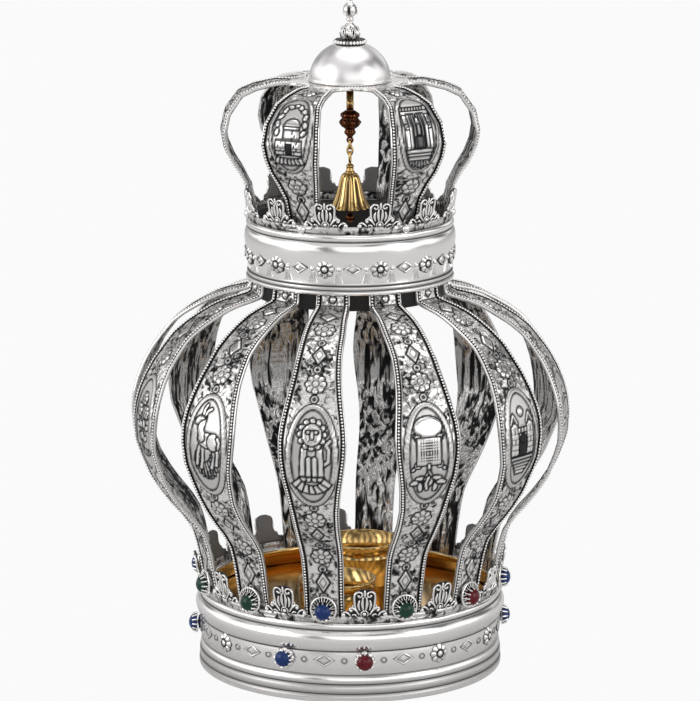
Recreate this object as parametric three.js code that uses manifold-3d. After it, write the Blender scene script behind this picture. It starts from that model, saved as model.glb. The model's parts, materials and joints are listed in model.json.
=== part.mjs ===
// A two-tiered silver crown for a Torah scroll.
//
// Twelve hammered ribs swell up from a moulded base ring to a narrow neck ring. Six wider ribs
// swell up again from the neck to a plain dome with a leafy finial. A gilt bell hangs inside the
// upper tier, and a gilt floor in the base ring carries two sleeves for the scroll's rollers.
// Units are millimetres, +Z is up, and the origin is on the ground under the middle of the crown.
// Angles are turned about Z from the front, which is -Y, towards +X.

import * as THREE from 'three';
import { mergeVertices } from 'three/addons/utils/BufferGeometryUtils.js';
import Module from 'manifold-3d';

const wasm = await Module();
wasm.setup();

// Driving dimensions
const GAP = 0.3; // clearance between two pieces that touch
const SHEET = 1.4; // thickness of the rib sheet
const WALL = 1.2; // thickness of the rings and crestings
const RING_SIDES = 36;

const BASE_RADIUS = 98.2;
const BASE_TOP = 51.4;
const BAND_HEIGHT = 27; // height of the row of stones on the base ring
const FLOOR_HEIGHT = 39;
const FLOOR_THICK = 1.2;
const FLOOR_RADIUS = 93.4;

const SLEEVE_RADIUS = 24;
const SLEEVE_WALL = 1;
const SLEEVE_TOP = 68;
const SLEEVE_OFFSET = 48;
const SLEEVE_SIDES = 12;
const SLEEVE_RIM = { out: 0.9, half: 1.2 }; // rolled rim: how far it stands out, half its height
const FLOOR_HOLE_STEPS = 10;

const RIB_COUNT = 12;
const RIB_PITCH = 360 / RIB_COUNT;
const BEAD_WIDTH = 2.6; // width of the beaded edge of a rib
const BEAD_HEIGHT = 1;
const BEAD_CREST = 0.9; // how far the crest of the bead lies inside the edge

const NECK_SKIRT_RADIUS = 61;
const NECK_SKIRT_BOTTOM = 244;
const NECK_FLANGE = 254.7;
const NECK_FLANGE_RADIUS = 66.4;
const NECK_LIP_INSIDE = 62.8;
const NECK_TOP = 293;
const NECK_SIDES = 24;
const ROSETTE_HEIGHT = 271.5;
const NECK_TURN = 26.1; // angle of one rosette and palmette of the neck

const UPPER_RIB_COUNT = 6;
const UPPER_RIB_PITCH = 360 / UPPER_RIB_COUNT;
const UPPER_RIB_TURN = 42;
const CROWN_PLATE = 380.6; // height of the flat where the six ribs meet
const ARCH_RADIUS = 14; // rounding of the openings between the upper ribs
const ARCH_START = 50;
const PLATE_HOLE = 7;

const STONE_RADIUS = 5;
const STONE_RISE = 5.2;
const STONE_SIDES = 6;
const SETTING_SIDES = 6;
const SETTING_RADIUS = 8;
const SETTING_BACK = 98.2;
const SETTING_THICK = 1.5;
const SETTING_STEM = { radius: 4.2, start: 95.6 };
const SETTING_LIFT = 1.2; // how far the disc's middle lies above its stone's
const FOOT_STONE_HEIGHT = 59.6;

// Rosettes on the two rings: their own radius, and three distances from the crown's axis
const BAND_ROSETTE = { radius: 5.8, back: 96.4, edge: 99.1, crest: 99.7 };
const NECK_ROSETTE = { radius: 5, back: 65, edge: 67.8, crest: 68.6 };

const DOME_RADIUS = 25.8;
const DOME_BOTTOM = 382;
const DOME_RISE = 23.9;
const DOME_STEPS = 4;
const DOME_SIDES = 20;
const WASHER_BOTTOM = 404.2;
const WASHER_RADIUS = 10.7;
const WASHER_THICK = 3;
const WASHER_ROUND = 0.8;
const WASHER_SIDES = 14;
const FINIAL_TOP = 433;
const LEAVES = 6; // leaves round the finial, and lobes round the knop

const ROD_RADIUS = 2.3;
const NUT_RADIUS = 9;
const NUT_FOOT = 4; // radius under the nut
const NUT_THICK = 4.4;
const NUT_RIM = 1.4;
const KNOP_TOP = 361.7;
const KNOP_BOTTOM = 344.2;
const BELL_TOP = 322;
const BELL_MOUTH = 299;
const BELL_FLUTES = 8;
const FLUTE_DEPTH = 0.12;
const LINK_WIRE = 0.75;

// Wire loops of the chain from the knop to the bell: top, height and width
const KNOP_EYE = { top: 345, height: 4.8, width: 4.8, turn: 0 };
const UPPER_LINK = { top: 343.4, height: 7.2, width: 4.7, turn: 90 };
const LOWER_LINK = { top: 339.5, height: 7.2, width: 4.7, turn: 0 };
const BELL_BAIL = { top: 335.6, height: 8.6, width: 4.6, turn: 90 };

// Stations of the lower rib from its foot to its collar: radius, height and half width
const LOWER_RIB = [
  { r: 94, z: BASE_TOP + GAP, w: 12.8 },
  { r: 103.8, z: 95, w: 13.6 },
  { r: 117, z: 112.5, w: 14.5 },
  { r: 132, z: 134, w: 16 },
  { r: 139.6, z: 155, w: 19.4 },
  { r: 140.2, z: 173, w: 21.6 },
  { r: 135.6, z: 192, w: 19.8 },
  { r: 123, z: 214.5, w: 15.6 },
  { r: 104.5, z: 231.5, w: 13.8 },
  { r: 80, z: 243.4, w: 12.4 },
  { r: 64, z: 247.2, w: 10.8 },
  { r: 63.6, z: 254.3, w: 10.6 },
];

// Stations of the upper rib from its foot to the start of the arches
const UPPER_RIB = [
  { r: 61.2, z: 287, w: 11.6 },
  { r: 61.6, z: 303, w: 11.8 },
  { r: 67, z: 317, w: 13.2 },
  { r: 76, z: 331.5, w: 17.4 },
  { r: 82.3, z: 350, w: 20.6 },
  { r: 79.6, z: 362, w: 19.6 },
  { r: 71, z: 373.6, w: 16.2 },
  { r: ARCH_START, z: CROWN_PLATE - 0.3, w: 12.7 },
];

// Oval medallions on the ribs: middle and reach counted in stations, half width and relief
const LOWER_MEDALLION = { middle: 4.9, reach: 2.3, half: 16, rise: 0.9 };
const UPPER_MEDALLION = { middle: 4.6, reach: 2, half: 14.5, rise: 0.8 };

// Strips of palmettes: heights of the foot, band and tips, inner radius, lean and half angle
const LOWER_CRESTING = {
  bottom: BASE_TOP + GAP, band: 56, top: 74.5, radius: 95.6, lean: 0.2,
  turn: RIB_PITCH / 2, halfAngle: 8.6,
};
const UPPER_CRESTING = {
  bottom: NECK_TOP + GAP, band: 298, top: 314, radius: 63.4, lean: 0.17,
  turn: NECK_TURN, halfAngle: 12.4,
};

// Finishes
const finish = (color, roughness, metalness) => (
  new THREE.MeshStandardMaterial({ color, roughness, metalness })
);
const POLISHED_SILVER = finish(0xd9d8d6, 0.18, 1);
const CHASED_SILVER = finish(0xa9a8a6, 0.38, 1);
const GILT = finish(0xd9a441, 0.22, 1);
const DARK_GILT = finish(0x5a4024, 0.45, 1);
const BLUE_STONE = finish(0x16306e, 0.15, 0);
const RED_STONE = finish(0x6e1023, 0.15, 0);
const GREEN_STONE = finish(0x0f4a36, 0.15, 0);

// Colours of the stones, starting at the front and going round towards +X
const FOOT_COLOURS = [
  BLUE_STONE, GREEN_STONE, RED_STONE, BLUE_STONE, GREEN_STONE, RED_STONE,
  BLUE_STONE, GREEN_STONE, RED_STONE, BLUE_STONE, GREEN_STONE, GREEN_STONE,
];
const BAND_STONES = [
  { bay: 0, colour: RED_STONE },
  { bay: 3, colour: BLUE_STONE },
  { bay: 5, colour: RED_STONE },
  { bay: 6, colour: GREEN_STONE },
  { bay: 9, colour: BLUE_STONE },
  { bay: 11, colour: BLUE_STONE },
];

const UP = new THREE.Vector3(0, 0, 1);
const crown = new THREE.Group();
const radians = THREE.MathUtils.degToRad;

// Point at an angle about the axis, a radius and a height
function polar(degrees, radius, height) {
  const angle = radians(degrees);
  return new THREE.Vector3(radius * Math.sin(angle), -radius * Math.cos(angle), height);
}

// Point a distance to the side of an angle, along the circle of a radius
function besideAngle(degrees, across, radius, out, height) {
  return polar(degrees + THREE.MathUtils.radToDeg(across / radius), radius + out, height);
}

// Volume inside a triangle mesh, negative when its faces point in
function signedVolume(positions, index) {
  const a = new THREE.Vector3();
  const b = new THREE.Vector3();
  const c = new THREE.Vector3();
  let total = 0;
  for (let i = 0; i < index.length; i += 3) {
    a.fromArray(positions, index[i] * 3);
    b.fromArray(positions, index[i + 1] * 3);
    c.fromArray(positions, index[i + 2] * 3);
    total += a.dot(b.cross(c)) / 6;
  }
  return total;
}

// Geometry with shared corners merged, flat triangles dropped and its faces pointing out
function closedBody(source) {
  const bare = new THREE.BufferGeometry();
  bare.setAttribute('position', source.getAttribute('position').clone());
  if (source.index) bare.setIndex(source.index.clone());
  const merged = mergeVertices(bare, 1e-4);
  const corners = merged.index.array;
  const positions = merged.getAttribute('position').array;
  const index = [];
  for (let i = 0; i < corners.length; i += 3) {
    const [a, b, c] = [corners[i], corners[i + 1], corners[i + 2]];
    if (a !== b && b !== c && c !== a) index.push(a, b, c);
  }
  if (signedVolume(positions, index) < 0) index.reverse();
  merged.setIndex(index);
  return merged;
}

function toManifold(geometry) {
  const body = closedBody(geometry);
  return new wasm.Manifold(new wasm.Mesh({
    numProp: 3,
    vertProperties: new Float32Array(body.getAttribute('position').array),
    triVerts: new Uint32Array(body.index.array),
  }));
}

// One body made of several that run into each other
function joined(geometries) {
  const whole = geometries.map(toManifold).reduce((sum, next) => sum.add(next));
  const mesh = whole.getMesh();
  const result = new THREE.BufferGeometry();
  result.setAttribute('position', new THREE.BufferAttribute(mesh.vertProperties, 3));
  result.setIndex(new THREE.BufferAttribute(mesh.triVerts, 1));
  return result;
}

function addPiece(name, geometry, material) {
  const body = closedBody(geometry);
  body.computeVertexNormals();
  const mesh = new THREE.Mesh(body, material);
  mesh.name = name;
  crown.add(mesh);
  return mesh;
}

// Turned body about Z from a profile of [radius, height] pairs
function turned(profile, sides, isRing = false) {
  const points = profile.map(([r, z]) => new THREE.Vector2(r, z));
  if (isRing) points.push(points[0].clone());
  const geometry = new THREE.LatheGeometry(points, sides);
  return geometry.rotateX(Math.PI / 2);
}

// Triangles of a flat outline, turning the same way round as the outline itself
function capFaces(outline) {
  const faces = THREE.ShapeUtils.triangulateShape(outline, []);
  const turn = ([a, b, c]) => {
    const ab = outline[b].clone().sub(outline[a]);
    return ab.cross(outline[c].clone().sub(outline[a]));
  };
  const same = THREE.ShapeUtils.area(outline) > 0;
  return faces.map((face) => ((turn(face) > 0) === same ? face : face.reverse()));
}

// Skin through rows of equally many points, closed at both ends by the flat outline of the row
function lofted(rows, outlines) {
  const count = rows[0].length;
  const positions = rows.flat().flatMap((point) => point.toArray());
  const index = [];
  for (let i = 0; i + 1 < rows.length; i += 1) {
    for (let j = 0; j < count; j += 1) {
      const k = (j + 1) % count;
      const [a, b, c, d] = [i * count + j, i * count + k, (i + 1) * count + k, (i + 1) * count + j];
      index.push(a, b, c, a, c, d);
    }
  }
  const last = (rows.length - 1) * count;
  for (const face of capFaces(outlines[0])) index.push(...face.reverse());
  for (const face of capFaces(outlines[1])) index.push(...face.map((corner) => last + corner));
  const geometry = new THREE.BufferGeometry();
  geometry.setAttribute('position', new THREE.Float32BufferAttribute(positions, 3));
  geometry.setIndex(index);
  return geometry;
}

// Half width of a rib's oval medallion at a station, zero outside it
function medallionHalf(index, { middle, reach, half }) {
  const away = (index - middle) / reach;
  return Math.abs(away) < 1 ? half * Math.sqrt(1 - away * away) : 0;
}

// Cross-section of a rib as [across, out] pairs: beaded edges, flat ground, raised medallion
function ribSection(half, oval, rise) {
  const ground = half - BEAD_WIDTH;
  const rim = oval > 0 ? Math.min(oval, ground) : ground;
  const relief = oval > 0 ? rise : 0;
  const edge = relief * 0.4;
  return [
    [-half, -SHEET],
    [-half + BEAD_CREST, BEAD_HEIGHT],
    [-rim, edge],
    [0, relief],
    [rim, edge],
    [half - BEAD_CREST, BEAD_HEIGHT],
    [half, -SHEET],
  ];
}

// Formed rib that follows its stations, at an angle about the axis
function ribBody(stations, medallion, degrees) {
  const rows = [];
  const outlines = [];
  stations.forEach((station, i) => {
    const before = stations[Math.max(i - 1, 0)];
    const after = stations[Math.min(i + 1, stations.length - 1)];
    const out = new THREE.Vector2(after.z - before.z, before.r - after.r).normalize();
    const section = ribSection(station.w, medallionHalf(i, medallion), medallion.rise);
    rows.push(section.map(([across, h]) => (
      besideAngle(degrees, across, station.r, out.x * h, station.z + out.y * h)
    )));
    outlines.push(section.map(([across, h]) => new THREE.Vector2(across, h)));
  });
  return lofted(rows, [outlines[0], outlines[outlines.length - 1]]);
}

// Stations of the end of an upper rib: a sixth of the flat plate, with rounded arches beside it
function plateStations() {
  const half = Math.PI / UPPER_RIB_COUNT;
  const stations = [];
  for (const part of [0.5, 1]) {
    const angle = part * Math.PI / 2;
    const r = ARCH_START - ARCH_RADIUS * Math.sin(angle);
    const opening = (ARCH_RADIUS - 1) * Math.cos(angle);
    stations.push({ r, z: CROWN_PLATE, w: r * half - opening - GAP / 2 });
  }
  stations.push({ r: PLATE_HOLE, z: CROWN_PLATE, w: PLATE_HOLE * half - GAP / 2 });
  return stations;
}

// Turned body that stands out from the axis at an angle and a height
function standingOut(profile, sides, degrees, height) {
  const geometry = turned(profile, sides);
  geometry.rotateX(Math.PI / 2);
  geometry.rotateZ(radians(degrees));
  geometry.translate(0, 0, height);
  return geometry;
}

// Round polished disc on a stem, which carries the stone at the foot of a rib
function footSetting(degrees) {
  const { radius: stem, start } = SETTING_STEM;
  const front = SETTING_BACK + SETTING_THICK;
  const profile = [
    [0, start], [stem, start], [stem, SETTING_BACK], [SETTING_RADIUS, SETTING_BACK],
    [SETTING_RADIUS, front], [0, front],
  ];
  return standingOut(profile, SETTING_SIDES, degrees, FOOT_STONE_HEIGHT + SETTING_LIFT);
}

// Low round boss for a rosette on a ring
function rosetteBoss({ radius, back, edge, crest }, degrees, height) {
  const profile = [[0, back], [radius, back], [radius, edge], [0, crest]];
  return standingOut(profile, SETTING_SIDES, degrees, height);
}

// Domed stone that stands out from a radius
function cabochon(degrees, height, from) {
  const profile = [
    [0, from], [STONE_RADIUS, from], [STONE_RADIUS * 0.8, from + STONE_RISE * 0.7],
    [0, from + STONE_RISE],
  ];
  return standingOut(profile, STONE_SIDES, degrees, height);
}

// Outline of one palmette as [degrees, height] pairs, from its left end to its right end
function palmetteOutline(halfAngle, foot, height) {
  const half = [
    [1, 0.14], [0.52, 0.38], [0.48, 0.84], [0.24, 1],
  ];
  const left = half.map(([a, h]) => [-a * halfAngle, foot + h * height]);
  const right = half.map(([a, h]) => [a * halfAngle, foot + h * height]).reverse();
  return [...left, ...right];
}

// Pierced strip of palmettes, bent round the crown and leaning out a little
function cresting({ bottom, band, top, radius, lean, turn, halfAngle }) {
  const outline = [];
  for (let i = 0; i < RIB_COUNT; i += 1) {
    const middle = turn + i * RIB_PITCH;
    for (const [a, z] of palmetteOutline(halfAngle, band, top - band)) {
      outline.push([middle + a, z]);
    }
    outline.push([middle + RIB_PITCH / 2, band]);
  }
  const count = outline.length;
  const positions = [];
  const at = (degrees, z, out) => {
    const r = radius + (z - bottom) * lean + out;
    positions.push(...polar(degrees, r, z).toArray());
  };
  for (const out of [0, WALL]) {
    for (const [a, z] of outline) at(a, z, out);
    for (const [a] of outline) at(a, bottom, out);
  }
  const index = [];
  const quad = (a, b, c, d) => index.push(a, b, c, a, c, d);
  const outer = 2 * count;
  for (let i = 0; i < count; i += 1) {
    const j = (i + 1) % count;
    quad(j, i, count + i, count + j);
    quad(outer + i, outer + j, outer + count + j, outer + count + i);
    quad(i, j, outer + j, outer + i);
    quad(count + j, count + i, outer + count + i, outer + count + j);
  }
  const geometry = new THREE.BufferGeometry();
  geometry.setAttribute('position', new THREE.Float32BufferAttribute(positions, 3));
  geometry.setIndex(index);
  return geometry;
}

// Fluted body about Z: every second line of the turning stands in by a share of its radius
function fluted(profile, flutes, depth, isRing = false) {
  const geometry = turned(profile, flutes * 2, isRing);
  const position = geometry.getAttribute('position');
  for (let i = 0; i < position.count; i += 1) {
    const x = position.getX(i);
    const y = position.getY(i);
    const angle = Math.atan2(x, -y);
    const shrink = 1 - depth * (0.5 - 0.5 * Math.cos(angle * flutes));
    position.setXY(i, x * shrink, y * shrink);
  }
  return geometry;
}

// Oval wire link that hangs from one height, turned about Z
function chainLink({ top, height, width, turn }) {
  const steps = 8;
  const sides = 4;
  const rows = [];
  for (let i = 0; i < steps; i += 1) {
    const a = (i / steps) * Math.PI * 2;
    const ring = [];
    for (let j = 0; j < sides; j += 1) {
      const b = (j / sides) * Math.PI * 2;
      const out = LINK_WIRE * Math.cos(b);
      const across = (width / 2 - LINK_WIRE + out) * Math.cos(a);
      const z = top - height / 2 + (height / 2 - LINK_WIRE + out) * Math.sin(a);
      const side = LINK_WIRE * Math.sin(b);
      ring.push(new THREE.Vector3(across, side, z).applyAxisAngle(UP, radians(turn)));
    }
    rows.push(ring);
  }
  rows.push(rows[0]);
  return lofted(rows, [[], []]);
}

// Base ring: a rolled foot, a band for stones, a plain bulge and a lip that carries the ribs
function buildBaseRing() {
  const profile = [
    [96, 0], [BASE_RADIUS, 0], [BASE_RADIUS, 5.3], [97.6, 11.4], [96.4, 17], [97.6, 33],
    [100.3, 41], [97.2, 47], [97.8, 49.4], [96.4, BASE_TOP],
    [92.5, BASE_TOP], [94.8, 45], [94.4, 17],
  ];
  const bodies = [turned(profile, RING_SIDES, true)];
  for (let bay = 0; bay < RIB_COUNT; bay += 1) {
    bodies.push(rosetteBoss(BAND_ROSETTE, (bay + 0.5) * RIB_PITCH, BAND_HEIGHT));
  }
  addPiece('base_ring', joined(bodies), POLISHED_SILVER);
}

function buildFloor() {
  const shape = new THREE.Shape();
  shape.absarc(0, 0, FLOOR_RADIUS, 0, Math.PI * 2);
  for (const side of [-1, 1]) {
    const hole = new THREE.Path();
    hole.absarc(0, side * SLEEVE_OFFSET, SLEEVE_RADIUS - SLEEVE_WALL, 0, Math.PI * 2, true);
    shape.holes.push(hole);
  }
  const plate = new THREE.ExtrudeGeometry(shape, {
    depth: FLOOR_THICK, bevelEnabled: false, curveSegments: FLOOR_HOLE_STEPS,
  });
  plate.translate(0, 0, FLOOR_HEIGHT);
  addPiece('gilt_floor', plate, GILT);
}

function buildSleeves() {
  const bottom = FLOOR_HEIGHT + FLOOR_THICK + GAP;
  const inner = SLEEVE_RADIUS - SLEEVE_WALL;
  const { out, half } = SLEEVE_RIM;
  const profile = [
    [inner, bottom], [SLEEVE_RADIUS, bottom], [SLEEVE_RADIUS, SLEEVE_TOP - 2 * half],
    [SLEEVE_RADIUS + out, SLEEVE_TOP - half], [SLEEVE_RADIUS, SLEEVE_TOP], [inner, SLEEVE_TOP],
  ];
  for (const [name, side] of [['front', -1], ['rear', 1]]) {
    const sleeve = turned(profile, SLEEVE_SIDES, true);
    sleeve.translate(0, side * SLEEVE_OFFSET, 0);
    addPiece(`roller_sleeve_${name}`, sleeve, GILT);
  }
}

function buildLowerTier() {
  addPiece('lower_cresting', cresting(LOWER_CRESTING), CHASED_SILVER);
  for (let i = 0; i < RIB_COUNT; i += 1) {
    const number = String(i + 1).padStart(2, '0');
    const degrees = i * RIB_PITCH;
    const body = ribBody(LOWER_RIB, LOWER_MEDALLION, degrees);
    addPiece(`lower_rib_${number}`, joined([body, footSetting(degrees)]), CHASED_SILVER);
    const stone = cabochon(degrees, FOOT_STONE_HEIGHT, SETTING_BACK + SETTING_THICK + GAP);
    addPiece(`foot_stone_${number}`, stone, FOOT_COLOURS[i]);
  }
  BAND_STONES.forEach(({ bay, colour }, i) => {
    const stone = cabochon((bay + 0.5) * RIB_PITCH, BAND_HEIGHT, BAND_ROSETTE.crest + GAP);
    addPiece(`band_stone_${i + 1}`, stone, colour);
  });
}

// Neck ring: a skirt for the ribs' collars, a flange, a band of rosettes and a plain bulge
function buildNeckRing() {
  const inner = NECK_SKIRT_RADIUS - WALL;
  const profile = [
    [inner, NECK_SKIRT_BOTTOM], [NECK_SKIRT_RADIUS, NECK_SKIRT_BOTTOM],
    [NECK_SKIRT_RADIUS, NECK_FLANGE], [NECK_FLANGE_RADIUS, NECK_FLANGE], [65, 262],
    [67, 277.5], [65, 288.6], [66, 290.8], [65.4, NECK_TOP],
    [NECK_LIP_INSIDE, NECK_TOP], [NECK_LIP_INSIDE, 286], [64.6, 277], [inner, 258],
  ];
  const ring = turned(profile, NECK_SIDES, true);
  ring.rotateZ(radians(NECK_TURN - 180 / NECK_SIDES));
  const bodies = [ring];
  for (let i = 0; i < RIB_COUNT; i += 1) {
    bodies.push(rosetteBoss(NECK_ROSETTE, NECK_TURN + i * RIB_PITCH, ROSETTE_HEIGHT));
  }
  addPiece('neck_ring', joined(bodies), POLISHED_SILVER);
}

function buildUpperTier() {
  addPiece('upper_cresting', cresting(UPPER_CRESTING), CHASED_SILVER);
  const stations = [...UPPER_RIB, ...plateStations()];
  for (let i = 0; i < UPPER_RIB_COUNT; i += 1) {
    const degrees = UPPER_RIB_TURN + i * UPPER_RIB_PITCH;
    addPiece(`upper_rib_${i + 1}`, ribBody(stations, UPPER_MEDALLION, degrees), CHASED_SILVER);
  }
}

function buildDomeAndFinial() {
  const top = WASHER_BOTTOM - GAP;
  const dome = [[0, DOME_BOTTOM]];
  const end = Math.asin((top - DOME_BOTTOM) / DOME_RISE);
  for (let i = 0; i <= DOME_STEPS; i += 1) {
    const angle = (end * i) / DOME_STEPS;
    dome.push([DOME_RADIUS * Math.cos(angle), DOME_BOTTOM + DOME_RISE * Math.sin(angle)]);
  }
  dome.push([0, top]);
  addPiece('dome', turned(dome, DOME_SIDES), POLISHED_SILVER);

  const washerTop = WASHER_BOTTOM + WASHER_THICK;
  const washerFlat = WASHER_RADIUS - WASHER_ROUND;
  const washer = [
    [0, WASHER_BOTTOM], [washerFlat, WASHER_BOTTOM],
    [WASHER_RADIUS, WASHER_BOTTOM + WASHER_THICK / 2], [washerFlat, washerTop],
    [0, washerTop],
  ];
  addPiece('beaded_washer', turned(washer, WASHER_SIDES), CHASED_SILVER);

  const foot = washerTop + GAP;
  const leafy = [
    [0, foot], [5.6, foot], [6.5, foot + 3], [5, foot + 6.6], [2.6, foot + 9.4], [2, foot + 12],
    [2.6, foot + 14], [4.6, foot + 17], [4, foot + 20.6], [1.8, foot + 22.8], [1.2, foot + 24],
    [0, FINIAL_TOP],
  ];
  addPiece('leafy_finial', fluted(leafy, LEAVES, 0.16), CHASED_SILVER);
}

function buildBell() {
  const underPlate = CROWN_PLATE - SHEET - GAP;
  const nutBottom = underPlate - NUT_THICK;
  const nut = [
    [0, nutBottom], [NUT_FOOT, nutBottom], [NUT_RADIUS, underPlate - NUT_RIM],
    [NUT_RADIUS, underPlate], [0, underPlate],
  ];
  addPiece('rod_nut', turned(nut, 8), DARK_GILT);

  const rodTop = nutBottom - GAP;
  const rodFoot = KNOP_TOP + GAP;
  const rod = [[0, rodFoot], [ROD_RADIUS, rodFoot], [ROD_RADIUS, rodTop], [0, rodTop]];
  addPiece('bell_rod', turned(rod, 10), GILT);

  const knop = [
    [0, KNOP_BOTTOM], [1.3, KNOP_BOTTOM], [3.6, 347], [3.2, 349], [6.8, 353.6], [6.2, 358.6],
    [2.8, KNOP_TOP], [0, KNOP_TOP],
  ];
  const lobed = fluted(knop, LEAVES, FLUTE_DEPTH);
  addPiece('rod_knop', joined([lobed, chainLink(KNOP_EYE)]), DARK_GILT);

  addPiece('chain_link_upper', chainLink(UPPER_LINK), GILT);
  addPiece('chain_link_lower', chainLink(LOWER_LINK), GILT);

  const bell = [
    [0, BELL_TOP], [5.8, BELL_TOP - 2.2], [8, 313], [10.2, 304.6], [13.5, BELL_MOUTH],
    [12.6, BELL_MOUTH], [9.2, 304.8], [7, 313], [5, 317.8], [0, 318.6],
  ];
  const cap = turned([[0, 320], [2.6, 320], [2.2, 325.6], [1.2, 327.6], [0, 327.8]], 8);
  const skirt = fluted(bell, BELL_FLUTES, FLUTE_DEPTH);
  addPiece('bell', joined([skirt, cap, chainLink(BELL_BAIL)]), GILT);

  const clapper = [
    [0, 289.2], [1.8, 289.8], [3, 292.2], [1.8, 294.6], [0.8, 295.4], [0.8, 318.2], [0, 318.2],
  ];
  addPiece('bell_clapper', turned(clapper, 8), DARK_GILT);
}

buildBaseRing();
buildFloor();
buildSleeves();
buildLowerTier();
buildNeckRing();
buildUpperTier();
buildDomeAndFinial();
buildBell();

export default crown;
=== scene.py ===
"""Dresses a two-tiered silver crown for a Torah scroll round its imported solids.

Sizes are in millimetres and angles in degrees, turned about Z from the front, which is -Y,
towards +X. Meshes are written in metres. A relief is drawn on a rib's own grid, across and along
the sheet, and each point keeps how black it is and how much of the hammered ground it shows.
"""

import json
import logging
import math
from collections.abc import Callable, Sequence
from dataclasses import dataclass
from enum import Enum

import bmesh
import bpy
import numpy as np
from bpy.types import Material, Mesh, Node, NodeSocket, NodeTree
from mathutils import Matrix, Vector

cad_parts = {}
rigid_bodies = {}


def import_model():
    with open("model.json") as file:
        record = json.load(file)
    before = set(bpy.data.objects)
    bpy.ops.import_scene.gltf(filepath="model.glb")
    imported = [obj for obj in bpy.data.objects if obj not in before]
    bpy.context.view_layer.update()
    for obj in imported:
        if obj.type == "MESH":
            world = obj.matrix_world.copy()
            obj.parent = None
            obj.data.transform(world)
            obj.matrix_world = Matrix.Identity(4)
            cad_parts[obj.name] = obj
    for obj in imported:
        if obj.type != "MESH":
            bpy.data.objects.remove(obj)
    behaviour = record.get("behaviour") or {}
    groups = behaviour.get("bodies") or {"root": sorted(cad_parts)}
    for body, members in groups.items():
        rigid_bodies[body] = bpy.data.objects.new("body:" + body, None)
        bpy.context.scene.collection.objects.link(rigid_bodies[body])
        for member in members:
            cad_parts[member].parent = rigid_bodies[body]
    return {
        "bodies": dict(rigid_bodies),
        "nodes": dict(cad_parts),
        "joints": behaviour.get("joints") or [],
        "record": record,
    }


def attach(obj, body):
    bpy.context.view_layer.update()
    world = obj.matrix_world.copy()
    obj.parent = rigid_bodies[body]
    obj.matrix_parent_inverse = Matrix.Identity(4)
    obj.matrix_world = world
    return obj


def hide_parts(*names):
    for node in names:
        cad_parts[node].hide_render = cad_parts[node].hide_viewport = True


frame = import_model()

LOG = logging.getLogger("crown")
MM = 0.001
MERGE_DISTANCE = 1e-7
BODY = "root"
Array = np.ndarray
Pair = tuple[float, float]


class Look(Enum):
    """Finishes; each value is the material's name and its slot in the record."""

    POLISHED = ("polished_silver", "polished_silver")
    SATIN = ("satin_silver", "polished_silver")
    CHASED = ("chased_silver", "chased_silver")
    SHEET_BACK = ("sheet_back", "chased_silver")
    GILT = ("gilt", "gilt")
    DARK_GILT = ("dark_gilt", "dark_gilt")
    BLUE = ("blue_stone", "blue_stone")
    RED = ("red_stone", "red_stone")
    GREEN = ("green_stone", "green_stone")


class Emblem(Enum):
    """Traditional emblems on the medallions; each value names the method that cuts it."""

    LION = "lion"
    PLATE = "breastplate"
    GATE = "gate"
    SCALES = "scales"
    TENTS = "tents"
    TREE = "tree"
    SKY = "sky"
    SHIP = "ship"
    SHEAF = "sheaf"
    WOLF = "wolf"
    FLOWERS = "flowers"
    DEER = "deer"
    PORTAL = "portal"
    DOMED_HOUSE = "domed_house"


def smooth_step(value: Array) -> Array:
    """Eases a value clipped to 0..1."""
    value = np.clip(value, 0.0, 1.0)
    return value * value * (3.0 - 2.0 * value)


def polar(degrees: Array | float, radius: Array | float, height: Array | float) -> Array:
    """Points about the crown's axis, in millimetres.

    Args:
        degrees: angle about the axis.
        radius: distance from it.
        height: height over the floor.

    Returns:
        The points.
    """
    angle = np.radians(degrees)
    parts = np.broadcast_arrays(radius * np.sin(angle), -radius * np.cos(angle), height)
    return np.stack(parts, axis=-1).astype(float)


def make_mesh(name: str, points: Array, faces: list, marks: dict[str, Array] | None = None,
              slots: Sequence[int] | None = None) -> Mesh:
    """Makes a clean mesh with merged doubles and faces out.

    Args:
        name: the mesh's name.
        points: corners in millimetres.
        faces: corner numbers of each face.
        marks: one number for each corner under each mark's name.
        slots: material number of each face.

    Returns:
        The mesh, in metres.
    """
    mesh = bpy.data.meshes.new(name)
    mesh.from_pydata((points * MM).tolist(), [], faces)
    for mark, values in (marks or {}).items():
        layer = mesh.attributes.new(mark, "FLOAT", "POINT")
        layer.data.foreach_set("value", np.asarray(values, np.float32).ravel())
    if slots is not None:
        mesh.polygons.foreach_set("material_index", list(slots))
    mesh.polygons.foreach_set("use_smooth", [True] * len(mesh.polygons))
    work = bmesh.new()
    work.from_mesh(mesh)
    bmesh.ops.remove_doubles(work, verts=work.verts, dist=MERGE_DISTANCE)
    bmesh.ops.recalc_face_normals(work, faces=work.faces)
    work.to_mesh(mesh)
    work.free()
    return mesh


def grid_faces(rows: int, columns: int, around: bool, closed_rows: bool = False) -> list:
    """Quads between rows of points.

    Args:
        rows, columns: how the points are laid out.
        around: joins the ends of each row.
        closed_rows: joins the last row to the first.

    Returns:
        Corner numbers of each face.
    """
    faces = []
    for i in range(rows if closed_rows else rows - 1):
        here, there = i * columns, (i + 1) % rows * columns
        for j in range(columns if around else columns - 1):
            k = (j + 1) % columns
            faces.append((here + j, here + k, there + k, there + j))
    return faces


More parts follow.
